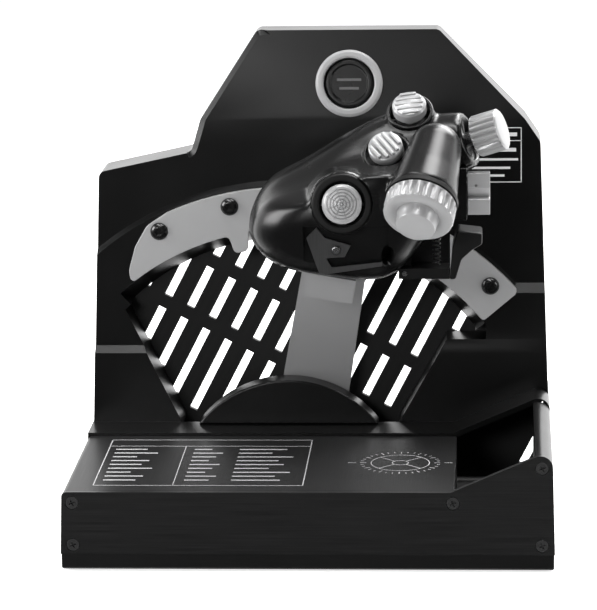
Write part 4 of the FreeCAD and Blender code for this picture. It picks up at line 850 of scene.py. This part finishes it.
def cursor_parts():
    """The round cursor control: ring round it, and a cap with circles and spokes pressed in."""
    bezel = softened("cursor_bezel", 0.5, 3, "cursor-bezel")
    finish_piece(bezel, "throttle", bezel_plastic)
    profile = [(2.45, 0.2), (8.2, 0.2), (9.2, 0.7), (9.6, 1.6), (9.55, 4.6), (9.3, 5.2),
               (8.7, 5.5)]
    for ring in range(5):
        radius = 8.3 - ring * 1.55
        crown = 5.7 + 1.0 * (1 - (radius / 9) ** 2)
        profile += [(radius, crown), (radius - 0.95, crown + 0.06), (radius - 1.0, crown - 0.6),
                    (radius - 1.4, crown - 0.58)]
    profile.append((0.3, 6.75))
    cap = lathe("cursor-cap", profile, None, 96)
    for spoke in range(8):
        groove = slab("spoke", rectangle(1.4, -0.2, 8.6, 0.2), 5.5, 9)
        place_mesh(groove, Matrix.Rotation(math.radians(18 + spoke * 45), 4, "Z"))
        cut_away(cap, groove)
    smooth(cap, 35)
    place_mesh(cap, CURSOR)
    finish_piece(cap, "cursor_knob", knob_plastic, ["cursor_cap"])


def thumb_caps():
    """Hat and brake switch, each in its collar."""
    hat = ribbed_cap("hat-cap", [(2.6, -4.0), (2.6, 0), (7.2, 0.05), (8.2, 1.2), (8.3, 2.0),
                                 (8.2, 4.9), (7.9, 5.5), (7.2, 5.9)], HAT, 2.95, 1.5, 0.12)
    finish_piece(hat, "hat_knob", knob_plastic)
    brake = ribbed_cap("brake-cap", [(3.0, -6.4), (3.0, 1.6), (7.6, 1.7), (8.4, 2.5), (8.5, 3.2),
                                     (8.4, 6.4), (8.1, 6.9), (7.4, 7.2)], BRAKE, 3.0, 1.4, -0.55)
    finish_piece(brake, "brake_slider", knob_plastic, ["brake_switch_cap"])
    for name, node in (("hat-collar", "hat_collar"), ("brake-collar", "brake_collar")):
        finish_piece(softened(node, 0.35, 3, name), "throttle", grip_plastic)


def turning_knobs():
    elevation = fluted_knob("elevation-knob", [
        (3.55, -13), (3.55, 0), (16.2, 0.05), (17.0, 0.5), (17.2, 1.2), (17.2, 8.2), (16.8, 9.0),
        (16.0, 9.6), (15.0, 9.9), (13.0, 9.9), (11.2, 9.3), (10.3, 9.0), (10.0, 9.6), (9.7, 14.6),
        (9.4, 15.6), (8.6, 16.0), (4.0, 15.8)], 24, 1.6, 0.9, 8.8, ELEVATION)
    finish_piece(elevation, "elevation_dial", knob_plastic, ["elevation_knob"])
    far = fluted_knob("range-knob", [
        (2.25, 3.0), (8.6, 3.05), (9.9, 3.6), (10.4, 4.4), (10.4, 15.9), (10.2, 16.8), (9.4, 17.4),
        (8.4, 17.6)], 20, 1.7, 4.2, 16.6, RANGE)
    finish_piece(far, "range_dial", knob_plastic, ["range_knob"])


def side_tab():
    """The sliding tab, with a thumb notch and a pip in its front, and the guide it runs in."""
    (left, front, foot), (right, back, top) = box_of("tab_switch")
    outline = [(front, foot), (back, foot), (back, top), (front, top), (front, top - 2.0),
               (front, top - 7.6), (front + 0.8, top - 8.2), (front + 2.6, top - 10.6),
               (front + 2.7, top - 12.0), (front + 0.9, top - 12.6), (front, top - 13.4)]
    upright = Matrix(((0, 0, 1, 0), (1, 0, 0, 0), (0, 1, 0, 0), (0, 0, 0, 1)))
    tab = slab("side-tab", outline, left, right, upright, 0.45)
    hole = lathe("pip", [(0.75, -1.2), (0.75, 2)],
                 stand((left + 4.2, front, top - 6.0), (0, -1, 0)), 24)
    cut_away(tab, hole)
    smooth(tab, 40)
    even_out(tab)
    finish_piece(tab, "tab_slider", knob_plastic, ["tab_switch"])
    guide = softened("tab_guide", 0.6, 3, "tab-guide")
    finish_piece(guide, "throttle", grip_plastic)


def lift_and_trigger():
    lift = softened("finger_lift", 0.35, 2, "finger-lift")
    finish_piece(lift, "lift_latch", lift_metal)
    rivet = softened("finger_lift_rivet", 0.3, 3, "lift-rivet")
    finish_piece(rivet, "throttle", steel)
    for node, width in (("release_shoe", 0.6), ("cutoff_paddle", 1.0)):
        finish_piece(softened(node, width), "release_trigger", trigger_plastic)


cursor_parts()
thumb_caps()
turning_knobs()
side_tab()
lift_and_trigger()

# ---------------------------------------------------------------- camera, floor and light
WHITE = (1, 1, 1, 1)


def stand_camera():
    turn, dip, roll = math.radians(3.67), math.radians(12.74), math.radians(-0.90)
    data = bpy.data.cameras.new("Camera")
    camera = bpy.data.objects.new("Camera", data)
    bpy.context.scene.collection.objects.link(camera)
    data.sensor_width = 36
    data.lens = 191.00656
    data.clip_end = 50
    ahead = Vector((-math.sin(turn) * math.cos(dip), math.cos(turn) * math.cos(dip),
                    -math.sin(dip)))
    level = Vector((math.cos(turn), math.sin(turn), 0))
    upright = level.cross(ahead)
    right = level * math.cos(roll) + upright * math.sin(roll)
    upward = upright * math.cos(roll) - level * math.sin(roll)
    facing = Matrix((right, upward, -ahead)).transposed().to_4x4()
    camera.matrix_world = Matrix.Translation(millimetres(94.13, -1580, 472.68)) @ facing
    bpy.context.scene.camera = camera


def lay_floor():
    deselect()
    bpy.ops.mesh.primitive_plane_add(size=8, location=(0, 0, 0))
    floor = bpy.context.object
    floor.name = "studio-floor"
    paint, _, shader = blank_material("Studio floor")
    shader.inputs["Base Color"].default_value = (0.92, 0.92, 0.92, 1)
    shader.inputs["Roughness"].default_value = 0.8
    shader.inputs["Emission Color"].default_value = WHITE
    shader.inputs["Emission Strength"].default_value = 0.7
    floor.data.materials.append(paint)
    floor.visible_glossy = False


def build_room():
    """The world: a bright wall behind the product, which fades to a dark ceiling and room."""
    world = bpy.data.worlds.new("Studio")
    bpy.context.scene.world = world
    world.use_nodes = True
    room = world.node_tree
    way = room.nodes.new("ShaderNodeTexCoord")
    split = room.nodes.new("ShaderNodeSeparateXYZ")
    both = room.nodes.new("ShaderNodeMath")
    both.operation = "MULTIPLY_ADD"
    both.inputs[2].default_value = 0.05
    room.links.new(way.outputs["Generated"], split.inputs[0])
    for slot, axis, start, end, first, last in ((0, "Y", 0.0, 0.6, 0.0, 2.1),
                                                (1, "Z", 0.28, 0.5, 1.0, 0.1)):
        ramp = room.nodes.new("ShaderNodeMapRange")
        ramp.interpolation_type = "SMOOTHSTEP"
        ramp.inputs["From Min"].default_value = start
        ramp.inputs["From Max"].default_value = end
        ramp.inputs["To Min"].default_value = first
        ramp.inputs["To Max"].default_value = last
        room.links.new(split.outputs[axis], ramp.inputs["Value"])
        room.links.new(ramp.outputs["Result"], both.inputs[slot])
    background = room.nodes["Background"]
    room.links.new(both.outputs["Value"], background.inputs["Strength"])
    background.inputs["Color"].default_value = WHITE


def soft_box(name, spot, aim, width, height, power):
    """A rectangular lamp of a size in metres and a power in watts, turned to a point."""
    light = bpy.data.lights.new(name, "AREA")
    light.shape = "RECTANGLE"
    light.size, light.size_y = width, height
    light.energy = power
    thing = bpy.data.objects.new(name, light)
    bpy.context.scene.collection.objects.link(thing)
    out = (Vector(spot) - Vector(aim)).normalized()
    turned = out.to_track_quat("Z", "Y").to_matrix().to_4x4()
    thing.matrix_world = Matrix.Translation(Vector(spot)) @ turned


stand_camera()
lay_floor()
build_room()
bpy.context.scene.view_settings.view_transform = "Standard"
soft_box("Overhead strip", (-0.15, -0.15, 1.2), (0.0, 0.0, 0.1), 1.1, 0.14, 6)
soft_box("Top softbox", (0.35, 0.3, 1.15), (0.03, -0.05, 0.2), 0.5, 0.5, 10)
soft_box("Rim softbox", (0.55, 0.8, 0.95), (0.02, -0.05, 0.2), 0.8, 0.5, 16)
soft_box("Left softbox", (-1.3, -0.2, 0.66), (0.0, 0.0, 0.12), 0.7, 0.8, 15)
soft_box("Right softbox", (1.2, -0.3, 0.5), (0.0, 0.0, 0.12), 0.2, 0.6, 2.5)
soft_box("Front softbox", (-0.5, -1.5, 0.6), (0.0, 0.0, 0.12), 0.5, 0.3, 7)
